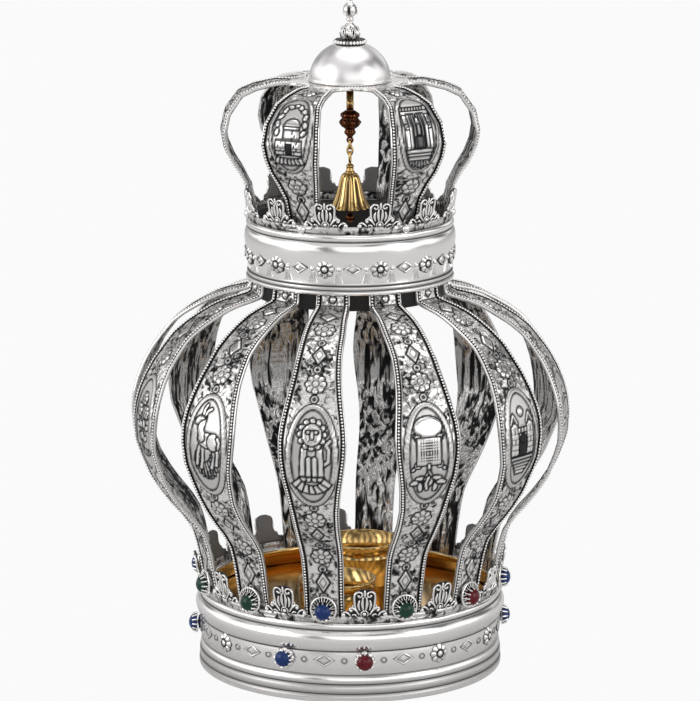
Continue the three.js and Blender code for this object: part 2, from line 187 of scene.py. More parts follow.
def lofted(name: str, rings: Array, marks: dict[str, Array] | None = None,
           closed: bool = False, back_from: int = 0) -> Mesh:
    """Skin through closed rings of points, capped at both ends unless it closes on itself.

    Args:
        name: the mesh's name.
        rings: rows of points.
        marks: one number for each point under each mark's name.
        closed: joins the last row to the first.
        back_from: first column of a back with the piece's second finish, 0 for none.

    Returns:
        The mesh.
    """
    rows, columns = rings.shape[:2]
    faces = grid_faces(rows, columns, True, closed)
    slots = None
    if back_from:
        slots = [int(back_from <= i % columns < columns - 1) for i in range(len(faces))] + [0, 0]
    if not closed:
        faces.append(tuple(range(columns)))
        faces.append(tuple(range((rows - 1) * columns, rows * columns)))
    return make_mesh(name, rings.reshape(-1, 3), faces, marks, slots)


def rounded(points: Sequence[Pair], step: float, window: float = 0.0) -> Array:
    """Even steps along a line, with its corners eased and its ends kept.

    Args:
        points: the line's own points.
        step: distance between the new ones.
        window: length over which a corner is eased.

    Returns:
        The new points.
    """
    line = np.array(points, float)
    lengths = np.r_[0, np.cumsum(np.hypot(*np.diff(line[:, :2], axis=0).T))]
    count = max(int(lengths[-1] / step), 2) + 1
    places = np.linspace(0, lengths[-1], count)
    fine = np.stack([np.interp(places, lengths, line[:, k]) for k in range(line.shape[1])], 1)
    half = int(window / step / 2)
    if half:
        ends = [2 * fine[0] - fine[half:0:-1], fine, 2 * fine[-1] - fine[-2:-half - 2:-1]]
        long = np.concatenate(ends)
        kernel = np.hanning(2 * half + 3)[1:-1]
        kernel /= kernel.sum()
        fine = np.stack([np.convolve(c, kernel, "valid") for c in long.T], 1)
    return fine


@dataclass(frozen=True)
class Turning:
    """A turned body: its profile of radius and height, and how finely it is cut."""

    profile: Sequence[Pair]
    sides: int = 96
    ring: bool = False
    step: float = 0.0
    window: float = 0.0
    grooves: Sequence[float] = ()
    groove_width: float = 0.5
    inside: float | None = None
    # How black the inside is kept: none for a clean lining, painted shade for an inside that lies in
    # shade.
    inside_painted_shade: float = 0.0

    def outline(self) -> Array:
        """The profile, refined and eased where a step is given.

        Returns:
            Its points.
        """
        points = list(self.profile)
        if self.ring:
            points.append(points[0])
        if not self.step:
            return np.array(points, float)
        return rounded(points, self.step, self.window)

    def mesh(self, name: str, shrink: Callable[[Array, Array], Array] | None = None,
             shade: Callable[[Array, Array], Array] | None = None,
             ground: Callable[[Array], Array] | None = None) -> Mesh:
        """Turns the profile about Z.

        Args:
            name: the mesh's name.
            shrink: share of the radius kept at an angle in radians and a height.
            shade: how black the surface is at an angle and a height.
            ground: how hammered the surface is at a height.

        Returns:
            The closed mesh.
        """
        outline = self.outline()
        if self.ring:
            outline = outline[:-1]
        angles = np.arange(self.sides) / self.sides * 2 * math.pi
        angle, height = np.meshgrid(angles, outline[:, 1], indexing="ij")
        radius = np.broadcast_to(outline[:, 0], angle.shape)
        if shrink:
            radius = radius * shrink(angle, height)
        points = polar(np.degrees(angle), radius, height)
        black = np.zeros_like(height)
        for groove in self.grooves:
            near = np.exp(-((height - groove) / self.groove_width) ** 2)
            black = np.maximum(black, near)
        # The inside, within the inside radius, takes its set blackness, which is painted shade when it is
        # above none.
        if self.inside is not None:
            black = np.where(radius < self.inside, self.inside_painted_shade, black)
        if shade:
            black = np.maximum(black, shade(angle, height))
        marks = {"tarnish_and_shade": black, "ground": ground(height) if ground else np.zeros_like(height)}
        faces = grid_faces(self.sides, len(outline), self.ring, True)
        slots = None
        if self.inside is not None:
            flat = radius.ravel()
            slots = [int(max(flat[c] for c in face) < self.inside) for face in faces]
        return make_mesh(name, points.reshape(-1, 3), faces, marks, slots)


def stood_out(mesh: Mesh, degrees: float, radius: float, height: float, lean: float = 0.0) -> Mesh:
    """Turns a mesh made about Z so that its top faces out from the axis, and puts it in place.

    Args:
        mesh: the mesh.
        degrees, radius, height: its place.
        lean: how far it faces up, in degrees.

    Returns:
        The same mesh.
    """
    angle = math.radians(degrees)
    tilt = math.radians(lean)
    out = Vector((math.sin(angle) * math.cos(tilt), -math.cos(angle) * math.cos(tilt), math.sin(tilt)))
    side = Vector((math.cos(angle), math.sin(angle), 0))
    up = out.cross(side) * -1
    place = Vector((math.sin(angle) * radius, -math.cos(angle) * radius, height)) * MM
    for vertex in mesh.vertices:
        x, y, z = vertex.co
        vertex.co = place + side * x + up * y + out * z
    return mesh


def feed(node: Node, feeds: dict[str | int, object]) -> None:
    """Links or sets a node's inputs.

    Args:
        node: the node.
        feeds: a socket to link or a value to set, under each input's name or number.
    """
    for key, value in feeds.items():
        if isinstance(value, NodeSocket):
            node.id_data.links.new(value, node.inputs[key])
        else:
            node.inputs[key].default_value = value


def add_node(tree: NodeTree, kind: str, feeds: dict[str | int, object] | None = None,
             **settings: object) -> Node:
    """Adds a node to a tree.

    Args:
        tree: the tree.
        kind: the node's type.
        feeds: what goes into its inputs.
        settings: the node's own settings.

    Returns:
        The node.
    """
    made = tree.nodes.new(kind)
    for name, value in settings.items():
        setattr(made, name, value)
    feed(made, feeds or {})
    return made


class ShapeTrees:
    """Geometry node trees that repeat a shape along a line or about the axis."""

    def __init__(self) -> None:
        """Builds each tree once."""
        self.beads = self._beads()
        self.wire = self._wire()
        self.copies = self._copies()

    @staticmethod
    def _start(name: str, sizes: dict[str, str]) -> tuple:
        """Starts a tree.

        Args:
            name: the tree's name.
            sizes: the kind of each named size.

        Returns:
            The tree, and the sockets that bring in its geometry, sizes and material.
        """
        tree = bpy.data.node_groups.new(name, "GeometryNodeTree")
        for label, kind in {"Geometry": "Geometry", **sizes, "Material": "Material"}.items():
            tree.interface.new_socket(label, in_out="INPUT", socket_type="NodeSocket" + kind)
        tree.interface.new_socket("Geometry", in_out="OUTPUT", socket_type="NodeSocketGeometry")
        return tree, add_node(tree, "NodeGroupInput").outputs

    @staticmethod
    def _line(tree: NodeTree, edges: NodeSocket, step: NodeSocket) -> NodeSocket:
        """Edges as a curve with points at an even step."""
        curve = add_node(tree, "GeometryNodeMeshToCurve", {"Mesh": edges}).outputs["Curve"]
        return add_node(tree, "GeometryNodeResampleCurve", {"Curve": curve, "Length": step},
                        mode="LENGTH").outputs["Curve"]

    @staticmethod
    def _end(tree: NodeTree, start: bpy.types.NodeOutputs, shape: NodeSocket) -> NodeTree:
        """Ends a tree: instances made real, shaded smooth, and given their material.

        Args:
            tree: the tree.
            start: the sockets that bring in its sizes.
            shape: the finished shape.

        Returns:
            The tree.
        """
        real = add_node(tree, "GeometryNodeRealizeInstances", {"Geometry": shape})
        smooth = add_node(tree, "GeometryNodeSetShadeSmooth", {"Geometry": real.outputs["Geometry"]})
        paint = add_node(tree, "GeometryNodeSetMaterial", {
            "Geometry": smooth.outputs["Geometry"], "Material": start["Material"]})
        add_node(tree, "NodeGroupOutput", {0: paint.outputs["Geometry"]})
        return tree

    def _beads(self) -> NodeTree:
        """Round beads set at an even pitch along a line.

        Returns:
            The tree.
        """
        tree, start = self._start("beads_along_line", {
            "Pitch": "Float", "Radius": "Float", "Segments": "Int", "Rings": "Int"})
        ball = add_node(tree, "GeometryNodeMeshUVSphere", {
            label: start[label] for label in ("Segments", "Rings", "Radius")})
        place = add_node(tree, "GeometryNodeInstanceOnPoints", {
            "Points": self._line(tree, start["Geometry"], start["Pitch"]),
            "Instance": ball.outputs["Mesh"]})
        return self._end(tree, start, place.outputs["Instances"])

    def _wire(self) -> NodeTree:
        """Round wire along a line, closed at its ends.

        Returns:
            The tree.
        """
        tree, start = self._start("wire_along_line", {
            "Step": "Float", "Radius": "Float", "Sides": "Int"})
        circle = add_node(tree, "GeometryNodeCurvePrimitiveCircle", {
            "Resolution": start["Sides"], "Radius": start["Radius"]})
        tube = add_node(tree, "GeometryNodeCurveToMesh", {
            "Curve": self._line(tree, start["Geometry"], start["Step"]),
            "Profile Curve": circle.outputs["Curve"], "Fill Caps": True})
        return self._end(tree, start, tube.outputs["Mesh"])

    def _copies(self) -> NodeTree:
        """Copies of a mesh turned about Z at even angles.

        Returns:
            The tree.
        """
        tree, start = self._start("turned_copies", {
            "Count": "Int", "Angle": "Float", "Turn": "Float"})
        points = add_node(tree, "GeometryNodePoints", {"Count": start["Count"]})
        index = add_node(tree, "GeometryNodeInputIndex")
        angle = add_node(tree, "ShaderNodeMath", {
            0: index.outputs["Index"], 1: start["Angle"], 2: start["Turn"]}, operation="MULTIPLY_ADD")
        euler = add_node(tree, "ShaderNodeCombineXYZ", {"Z": angle.outputs[0]})
        turn = add_node(tree, "FunctionNodeEulerToRotation", {0: euler.outputs[0]})
        place = add_node(tree, "GeometryNodeInstanceOnPoints", {
            "Points": points.outputs[0], "Instance": start["Geometry"],
            "Rotation": turn.outputs[0]})
        return self._end(tree, start, place.outputs["Instances"])


class Workshop:
    """Turns meshes into finished pieces of the crown."""

    def __init__(self, finishes: dict[Look, Material], trees: ShapeTrees) -> None:
        """Keeps the finishes and the node trees that every part uses."""
        self.finishes = finishes
        self.trees = trees

    def grown(self, mesh: Mesh, tree: NodeTree, **values: float) -> Mesh:
        """Runs a tree on a mesh and gives the plain result, which a piece gives its own finish.

        Args:
            mesh: the line or shape that the tree repeats.
            tree: one of the shape trees.
            values: the tree's inputs, by name.

        Returns:
            The result as a mesh.
        """
        carrier = bpy.data.objects.new(mesh.name + "_seed", mesh)
        bpy.context.scene.collection.objects.link(carrier)
        modifier = carrier.modifiers.new("shape", "NODES")
        modifier.node_group = tree
        values["Material"] = self.finishes[Look.POLISHED]
        for item in tree.interface.items_tree:
            if item.in_out == "INPUT" and item.name in values:
                modifier[item.identifier] = values[item.name]
        graph = bpy.context.evaluated_depsgraph_get()
        result = bpy.data.meshes.new_from_object(carrier.evaluated_get(graph))
        carrier.modifiers.remove(modifier)
        bpy.data.objects.remove(carrier)
        return result

    def beads(self, lines: Sequence[Array], pitch: float, radius: float,
              segments: int = 5, rings: int = 4) -> Mesh:
        """Beads along lines of points in millimetres."""
        return self.grown(line_mesh(lines), self.trees.beads, Pitch=pitch * MM,
                          Radius=radius * MM, Segments=segments, Rings=rings)

    def wire(self, lines: Sequence[Array], radius: float, step: float = 1.0,
             sides: int = 6, closed: bool = False) -> Mesh:
        """Round wire along lines of points in millimetres."""
        return self.grown(line_mesh(lines, closed), self.trees.wire, Step=step * MM,
                          Radius=radius * MM, Sides=sides)

    def copies(self, mesh: Mesh, count: int, turn: float = 0.0) -> Mesh:
        """A mesh repeated about Z from a first angle in degrees."""
        return self.grown(mesh, self.trees.copies, Count=count, Angle=math.radians(360 / count),
                          Turn=math.radians(turn))

    def piece(self, name: str, meshes: Mesh | Sequence[Mesh], look: Look,
              *nodes: str, lining: Look | None = None) -> bpy.types.Object:
        """Finishes a piece, fixes it to the body, and hides the nodes that it stands for.

        Args:
            name: the piece's name.
            meshes: one mesh, or several to join.
            look: its finish.
            nodes: the nodes that it stands for.
            lining: the finish of its second slot.

        Returns:
            The piece.
        """
        parts = [meshes] if isinstance(meshes, Mesh) else list(meshes)
        mesh = parts[0] if len(parts) == 1 else merged(name, parts)
        mesh.name = name
        if not lining:
            mesh.materials.clear()
        mesh.materials.append(self.finishes[look])
        if lining:
            mesh.materials.append(self.finishes[lining])
        made = bpy.data.objects.new(name, mesh)
        bpy.context.scene.collection.objects.link(made)
        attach(made, BODY)
        if nodes:
            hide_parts(*nodes)
        LOG.info("%s: %d faces", name, len(mesh.polygons))
        return made


def line_mesh(lines: Sequence[Array], closed: bool = False) -> Mesh:
    """A mesh of edges alone along lines of points in millimetres.

    Args:
        lines: lines of points.
        closed: joins each line's ends.

    Returns:
        The mesh.
    """
    corners, edges = [], []
    for line in lines:
        first = len(corners)
        corners.extend((np.asarray(line) * MM).tolist())
        edges.extend((first + i, first + i + 1) for i in range(len(line) - 1))
        if closed:
            edges.append((len(corners) - 1, first))
    mesh = bpy.data.meshes.new("line")
    mesh.from_pydata(corners, edges, [])
    return mesh


def merged(name: str, meshes: Sequence[Mesh]) -> Mesh:
    """One mesh of several, with their marks kept.

    Args:
        name: the new mesh's name.
        meshes: the meshes, which are used up.

    Returns:
        The new mesh.
    """
    whole = bmesh.new()
    for mesh in meshes:
        whole.from_mesh(mesh)
    result = bpy.data.meshes.new(name)
    whole.to_mesh(result)
    whole.free()
    for mesh in meshes:
        bpy.data.meshes.remove(mesh)
    return result


@dataclass(frozen=True)
class Finish:
    """Colours and gloss of one metal, and how strongly its surface moves."""

    look: Look
    bright: tuple[float, float, float]
    black: tuple[float, float, float]
    roughness: float
    mottling: float
    hammer_size: float
    hammer_depth: float
    stretch: float = 1.0

    def material(self, patina_and_shade: NodeTree) -> Material:
        """Builds the metal's material round the shared group of oxide and painted shade.

        Args:
            patina_and_shade: the group's tree.

        Returns:
            The material.
        """
        made = bpy.data.materials.new(self.look.value[0])
        made.use_nodes = True
        group = add_node(made.node_tree, "ShaderNodeGroup", node_tree=patina_and_shade)
        feed(group, {
            "Bright": (*self.bright, 1), "Black": (*self.black, 1), "Mottling": self.mottling,
            "Gloss": self.roughness, "Hammer size": self.hammer_size, "Stretch": self.stretch})
        bump = add_node(made.node_tree, "ShaderNodeBump", {
            "Distance": self.hammer_depth * MM, "Strength": 1.0, "Height": group.outputs["Height"]})
        feed(made.node_tree.nodes["Principled BSDF"], {
            "Base Color": group.outputs["Colour"], "Metallic": group.outputs["Metal"],
            "Roughness": group.outputs["Roughness"], "Normal": bump.outputs["Normal"]})
        return made


@dataclass(frozen=True)
class StoneFinish:
    """Colour of an opaque polished stone."""

    look: Look
    colour: tuple[float, float, float]
    vein: tuple[float, float, float]
    vein_scale: float = 260.0
    roughness: float = 0.12
    specular: float = 0.35

    def material(self) -> Material:
        """Builds the stone's material: a deep colour with a soft vein under a polish.

        Returns:
            The material.
        """
        made = bpy.data.materials.new(self.look.value[0])
        made.use_nodes = True
        place = add_node(made.node_tree, "ShaderNodeTexCoord").outputs["Object"]
        noise = add_node(made.node_tree, "ShaderNodeTexNoise", {
            "Vector": place, "Scale": self.vein_scale, "Detail": 3.0})
        mix = add_node(made.node_tree, "ShaderNodeMix", data_type="RGBA")
        feed(mix, {0: noise.outputs["Fac"], 6: (*self.colour, 1), 7: (*self.vein, 1)})
        feed(made.node_tree.nodes["Principled BSDF"], {
            "Base Color": mix.outputs[2], "Roughness": self.roughness,
            "Specular IOR Level": self.specular})
        return made


METALS = (
    Finish(Look.POLISHED, (0.95, 0.932, 0.915), (0.02, 0.02, 0.021), 0.2, 0.0, 110.0, 0.03),
    Finish(Look.SATIN, (0.88, 0.865, 0.86), (0.02, 0.02, 0.021), 0.33, 0.0, 110.0, 0.03),
    Finish(Look.CHASED, (0.92, 0.9, 0.885), (0.004, 0.004, 0.005), 0.2, 1.0, 340.0, 0.5),
    Finish(Look.SHEET_BACK, (0.8, 0.785, 0.77), (0.004, 0.004, 0.005), 0.1, 1.15, 330.0, 1.8, 0.14),
    Finish(Look.GILT, (0.8, 0.54, 0.22), (0.06, 0.025, 0.008), 0.16, 0.3, 90.0, 0.1),
    Finish(Look.DARK_GILT, (0.17, 0.055, 0.02), (0.02, 0.006, 0.003), 0.22, 0.5, 300.0, 0.1),
)
STONES = (
    StoneFinish(Look.BLUE, (0.001, 0.014, 0.085), (0.003, 0.035, 0.17)),
    StoneFinish(Look.RED, (0.06, 0.0005, 0.003), (0.15, 0.001, 0.008)),
    StoneFinish(Look.GREEN, (0.0005, 0.018, 0.009), (0.002, 0.05, 0.024)),
)


class PatinaAndShadeGroup:
    """The shared shader group that blackens a metal by its mark, which holds black oxide in low places and
    painted shade, and mottles its ground.
    """

    INPUTS = {"Bright": "Color", "Black": "Color", "Mottling": "Float", "Gloss": "Float",
              "Hammer size": "Float", "Stretch": "Float"}
    OUTPUTS = {"Colour": "Color", "Metal": "Float", "Roughness": "Float", "Height": "Float"}
    BROAD_SCALE = 70.0
    SPECKLE = (4.2, -1.85)
    DRIFT = (2.6, -1.3)
    SMEAR = (0.1, -0.05)
    BLACKENING = 1.7
    METAL_LOST, GLOSS_LOST = 0.35, 0.4
    SMOOTH_LIFT = 0.15

    def __init__(self) -> None:
        """Builds the group's tree."""
        self.tree = bpy.data.node_groups.new("patina_and_shade", "ShaderNodeTree")
        for side, sockets in (("INPUT", self.INPUTS), ("OUTPUT", self.OUTPUTS)):
            for label, kind in sockets.items():
                self.tree.interface.new_socket(label, in_out=side, socket_type="NodeSocket" + kind)
        self._wire()

    def _math(self, operation: str, *values: object, clamp: bool = False) -> NodeSocket:
        """The result of a math node fed by sockets or numbers."""
        return add_node(self.tree, "ShaderNodeMath", dict(enumerate(values)), operation=operation,
                        use_clamp=clamp).outputs[0]

    def _noise(self, place: NodeSocket, scale: object, detail: float, warp: float = 0.0) -> NodeSocket:
        """The value of a noise at a scale."""
        return add_node(self.tree, "ShaderNodeTexNoise", {
            "Vector": place, "Scale": scale, "Detail": detail, "Distortion": warp}).outputs["Fac"]

    def _mark(self, name: str) -> NodeSocket:
        """The value of a mark that the mesh carries."""
        return add_node(self.tree, "ShaderNodeAttribute", attribute_name=name).outputs["Fac"]

    def _wire(self) -> None:
        """Joins marks and noises into the outputs."""
        tree = self.tree
        start = add_node(tree, "NodeGroupInput").outputs
        drawn = add_node(tree, "ShaderNodeCombineXYZ", {0: 1.0, 1: 1.0, 2: start["Stretch"]})
        where = add_node(tree, "ShaderNodeTexCoord").outputs["Object"]
        place = add_node(tree, "ShaderNodeVectorMath", {0: where, 1: drawn.outputs["Vector"]},
                         operation="MULTIPLY").outputs["Vector"]
        # The blackening mark holds black oxide in low places and, on some parts, painted shade.
        tarnish_and_shade, ground = self._mark("tarnish_and_shade"), self._mark("ground")
        fine = self._noise(place, start["Hammer size"], 3.0, 0.6)
        broad = self._noise(place, self.BROAD_SCALE, 2.0)
        mottled = self._math("MULTIPLY_ADD", fine, *self.SPECKLE)
        shifted = self._math("MULTIPLY_ADD", broad, *self.DRIFT)
        speckle = self._math("ADD", mottled, shifted, clamp=True)
        amount = self._math("MULTIPLY", ground, start["Mottling"])
        dirt = self._math("MULTIPLY", speckle, amount)
        worst = self._math("MAXIMUM", tarnish_and_shade, dirt, clamp=True)
        kept = self._math("POWER", self._math("SUBTRACT", 1.0, worst), self.BLACKENING)
        black = self._math("SUBTRACT", 1.0, kept, clamp=True)
        mix = add_node(tree, "ShaderNodeMix", data_type="RGBA")
        feed(mix, {0: black, 6: start["Bright"], 7: start["Black"]})
        smear = self._math("MULTIPLY_ADD", broad, *self.SMEAR)
        gloss = self._math("ADD", start["Gloss"], smear)
        lift = self._math("MULTIPLY_ADD", ground, 1 - self.SMOOTH_LIFT, self.SMOOTH_LIFT)
        add_node(tree, "NodeGroupOutput", {
            "Colour": mix.outputs[2],
            "Metal": self._math("MULTIPLY_ADD", black, -self.METAL_LOST, 1.0),
            "Roughness": self._math("MULTIPLY_ADD", black, self.GLOSS_LOST, gloss),
            "Height": self._math("MULTIPLY", fine, lift)})


def segment_distance(u: Array, v: Array, a: Pair, b: Pair) -> Array:
    """Distance of points to a straight stroke.

    Args:
        u, v: the points.
        a, b: the stroke's ends.

    Returns:
        The distances.
    """
    du, dv = b[0] - a[0], b[1] - a[1]
    along = np.clip(((u - a[0]) * du + (v - a[1]) * dv) / max(du * du + dv * dv, 1e-9), 0, 1)
    return np.hypot(u - a[0] - along * du, v - a[1] - along * dv)


class Chasing:
    """A grid of points on a sheet, raised, sunk and blackened by the strokes drawn on it."""

    EDGE = 0.45

    def __init__(self, u: Array, v: Array) -> None:
        """Starts a flat hammered sheet.

        Args:
            u, v: places across and along the sheet, in millimetres.
        """
        self.u, self.v, self.scale = u, v, 1.0
        self.height = np.zeros_like(u)
        self.tarnish_and_shade = np.zeros_like(u)
        self.ground = np.ones_like(u)

    def at(self, across: float, along: float, scale: float = 1.0, turn: float = 0.0) -> "Chasing":
        """The same sheet with its measures moved, turned and scaled, to draw one motif.

        Args:
            across, along: where the motif's middle is.
            scale: its size.
            turn: its angle in degrees.

        Returns:
            The sheet in the motif's own measures.
        """
        moved = Chasing.__new__(Chasing)
        u, v = (self.u - across) / scale, (self.v - along) / scale
        c, s = math.cos(math.radians(turn)), math.sin(math.radians(turn))
        moved.u, moved.v, moved.scale = u * c + v * s, v * c - u * s, self.scale * scale
        moved.height, moved.tarnish_and_shade, moved.ground = self.height, self.tarnish_and_shade, self.ground
        return moved

    def stamp(self, distance: Array, rise: float = 0.5, outline: float = 0.8,
              tone: float = 0.0) -> None:
        """Raises the places inside a shape, cleans them, and leaves a black line round it.

        Args:
            distance: signed distance to the shape's edge, negative inside.
            rise: how far the shape's middle stands over the sheet.
            outline: width of the black line, 0 for none.
            tone: how black the shape's own surface stays.
        """
        real = distance * self.scale
        inside = np.clip(0.5 - real / self.EDGE, 0, 1)
        dome = rise * smooth_step(0.35 - real / 2.2)
        self.height[...] = self.height * (1 - inside) + np.maximum(self.height, dome) * inside
        if outline:
            line = np.exp(-((real - outline * 0.5) / outline) ** 4) * (real > -0.2)
            self.tarnish_and_shade[...] = np.maximum(self.tarnish_and_shade, line)
            self.height[...] -= 0.25 * line
        self.tarnish_and_shade[...] = self.tarnish_and_shade * (1 - inside) + tone * inside
        self.ground[...] = self.ground * (1 - inside)

    def cut(self, distance: Array, width: float = 0.4, depth: float = 0.3, black: float = 1.0) -> None:
        """Sinks a black line along the places near a path.

        Args:
            distance: distance to the path.
            width, depth: the line's size.
            black: how black it is.
        """
        line = np.exp(-(distance * self.scale / width) ** 2)
        self.height[...] -= depth * line
        self.tarnish_and_shade[...] = np.maximum(self.tarnish_and_shade, black * line)

    def path(self, points: Sequence[Pair]) -> Array:
        """Distance to a path of straight strokes."""
        pairs = zip(points, points[1:])
        return np.minimum.reduce([segment_distance(self.u, self.v, a, b) for a, b in pairs])

    def bar(self, points: Sequence[Pair], width: float, rise: float = 0.5, tone: float = 0.0) -> None:
        """A raised stroke along a path."""
        self.stamp(self.path(points) - width / 2, rise, tone=tone)

    def oval_distance(self, cu: float, cv: float, a: float, b: float, turn: float = 0.0) -> Array:
        """Signed distance to an oval's edge, nearly true close to it.

        Args:
            cu, cv: the oval's middle.
            a, b: half its width and height.
            turn: its angle in degrees.

        Returns:
            The distances, negative inside.
        """
        c, s = math.cos(math.radians(turn)), math.sin(math.radians(turn))
        du, dv = self.u - cu, self.v - cv
        x, y = du * c + dv * s, dv * c - du * s
        k = np.hypot(x / a, y / b)
        slope = np.hypot(x / a ** 2, y / b ** 2) + 1e-6
        return np.maximum(k * (k - 1) / slope, -min(a, b))

    def oval(self, cu: float, cv: float, a: float, b: float, turn: float = 0.0,
             rise: float = 0.5, tone: float = 0.0) -> None:
        """A raised oval."""
        self.stamp(self.oval_distance(cu, cv, a, b, turn), rise, tone=tone)

    def block(self, cu: float, cv: float, a: float, b: float, turn: float = 0.0,
              rise: float = 0.5, tone: float = 0.0) -> None:
        """A raised oblong of half sides a and b."""
        moved = self.at(cu, cv, 1.0, turn)
        self.stamp(np.maximum(np.abs(moved.u) - a, np.abs(moved.v) - b), rise, tone=tone)

    def ring(self, cu: float, cv: float, radius: float, width: float = 0.9) -> None:
        """A small raised ring."""
        away = np.hypot(self.u - cu, self.v - cv)
        self.stamp(np.abs(away - radius) - width / 2, 0.5, 0.7)

    def diamond(self, cu: float, cv: float, a: float, b: float) -> None:
        """A raised diamond with a black rim and a facet line inside it.

        Args:
            cu, cv: its middle.
            a, b: half its width and height.
        """
        slant = math.hypot(1 / a, 1 / b)
        away = (np.abs(self.u - cu) / a + np.abs(self.v - cv) / b - 1) / slant
        self.stamp(away, 0.7, 0.9)
        self.cut(away + min(a, b) * 0.36, 0.34, 0.15, 0.8)

    def rosette(self, cu: float, cv: float, radius: float, petals: int = 8) -> None:
        """A flower of round petals about a button.

        Args:
            cu, cv: its middle.
            radius: its size.
            petals: how many petals.
        """
        du, dv = self.u - cu, self.v - cv
        away, angle = np.hypot(du, dv), np.arctan2(dv, du)
        lobes = np.abs(np.cos(angle * petals / 2))
        self.stamp(away - radius * (0.84 + 0.16 * lobes), 0.8, 0.8)
        gap = np.abs(np.sin((angle + math.pi / petals) * petals / 2)) * away * 2 / petals
        outer = smooth_step((away / radius - 0.42) * 6) * smooth_step((1.02 - away / radius) * 8)
        self.tarnish_and_shade[...] = np.maximum(self.tarnish_and_shade, np.exp(-(gap / 0.42) ** 2) * outer)
        self.cut(away - radius * 0.36, 0.42, 0.3, 1.0)

    def medallion(self, cu: float, cv: float, a: float, b: float, frame: float) -> "Chasing":
        """An oval field in a ribbed frame.

        Args:
            cu, cv: its middle.
            a, b: half its width and height.
            frame: the frame's width.

        Returns:
            The field's own measures.
        """
        away = self.oval_distance(cu, cv, a, b)
        self.stamp(away, 0.8, 0.6)
        angle = np.arctan2((self.v - cv) / b, (self.u - cu) / a)
        on_frame = smooth_step((away + frame) / 0.5) * smooth_step(-away / 0.5)
        ribbing = 0.16 + 0.14 * np.sin(angle * 60)
        self.tarnish_and_shade[...] = np.maximum(self.tarnish_and_shade, ribbing * on_frame)
        field = smooth_step((-frame - away) / 0.6)
        self.height[...] -= field * 0.55
        # The sunk field keeps an even dark tone of its own, and painted shade darkens a band just inside
        # the frame, under its rim.
        shade = field * (0.2 + 0.5 * smooth_step((away + frame + 1.6) / 1.2))
        self.tarnish_and_shade[...] = np.maximum(self.tarnish_and_shade, shade)
        self.cut(away + frame, 0.55, 0.2)
        self.cut(away + frame * 0.5, 0.25, 0.1, 0.2)
        return self.at(cu, cv)


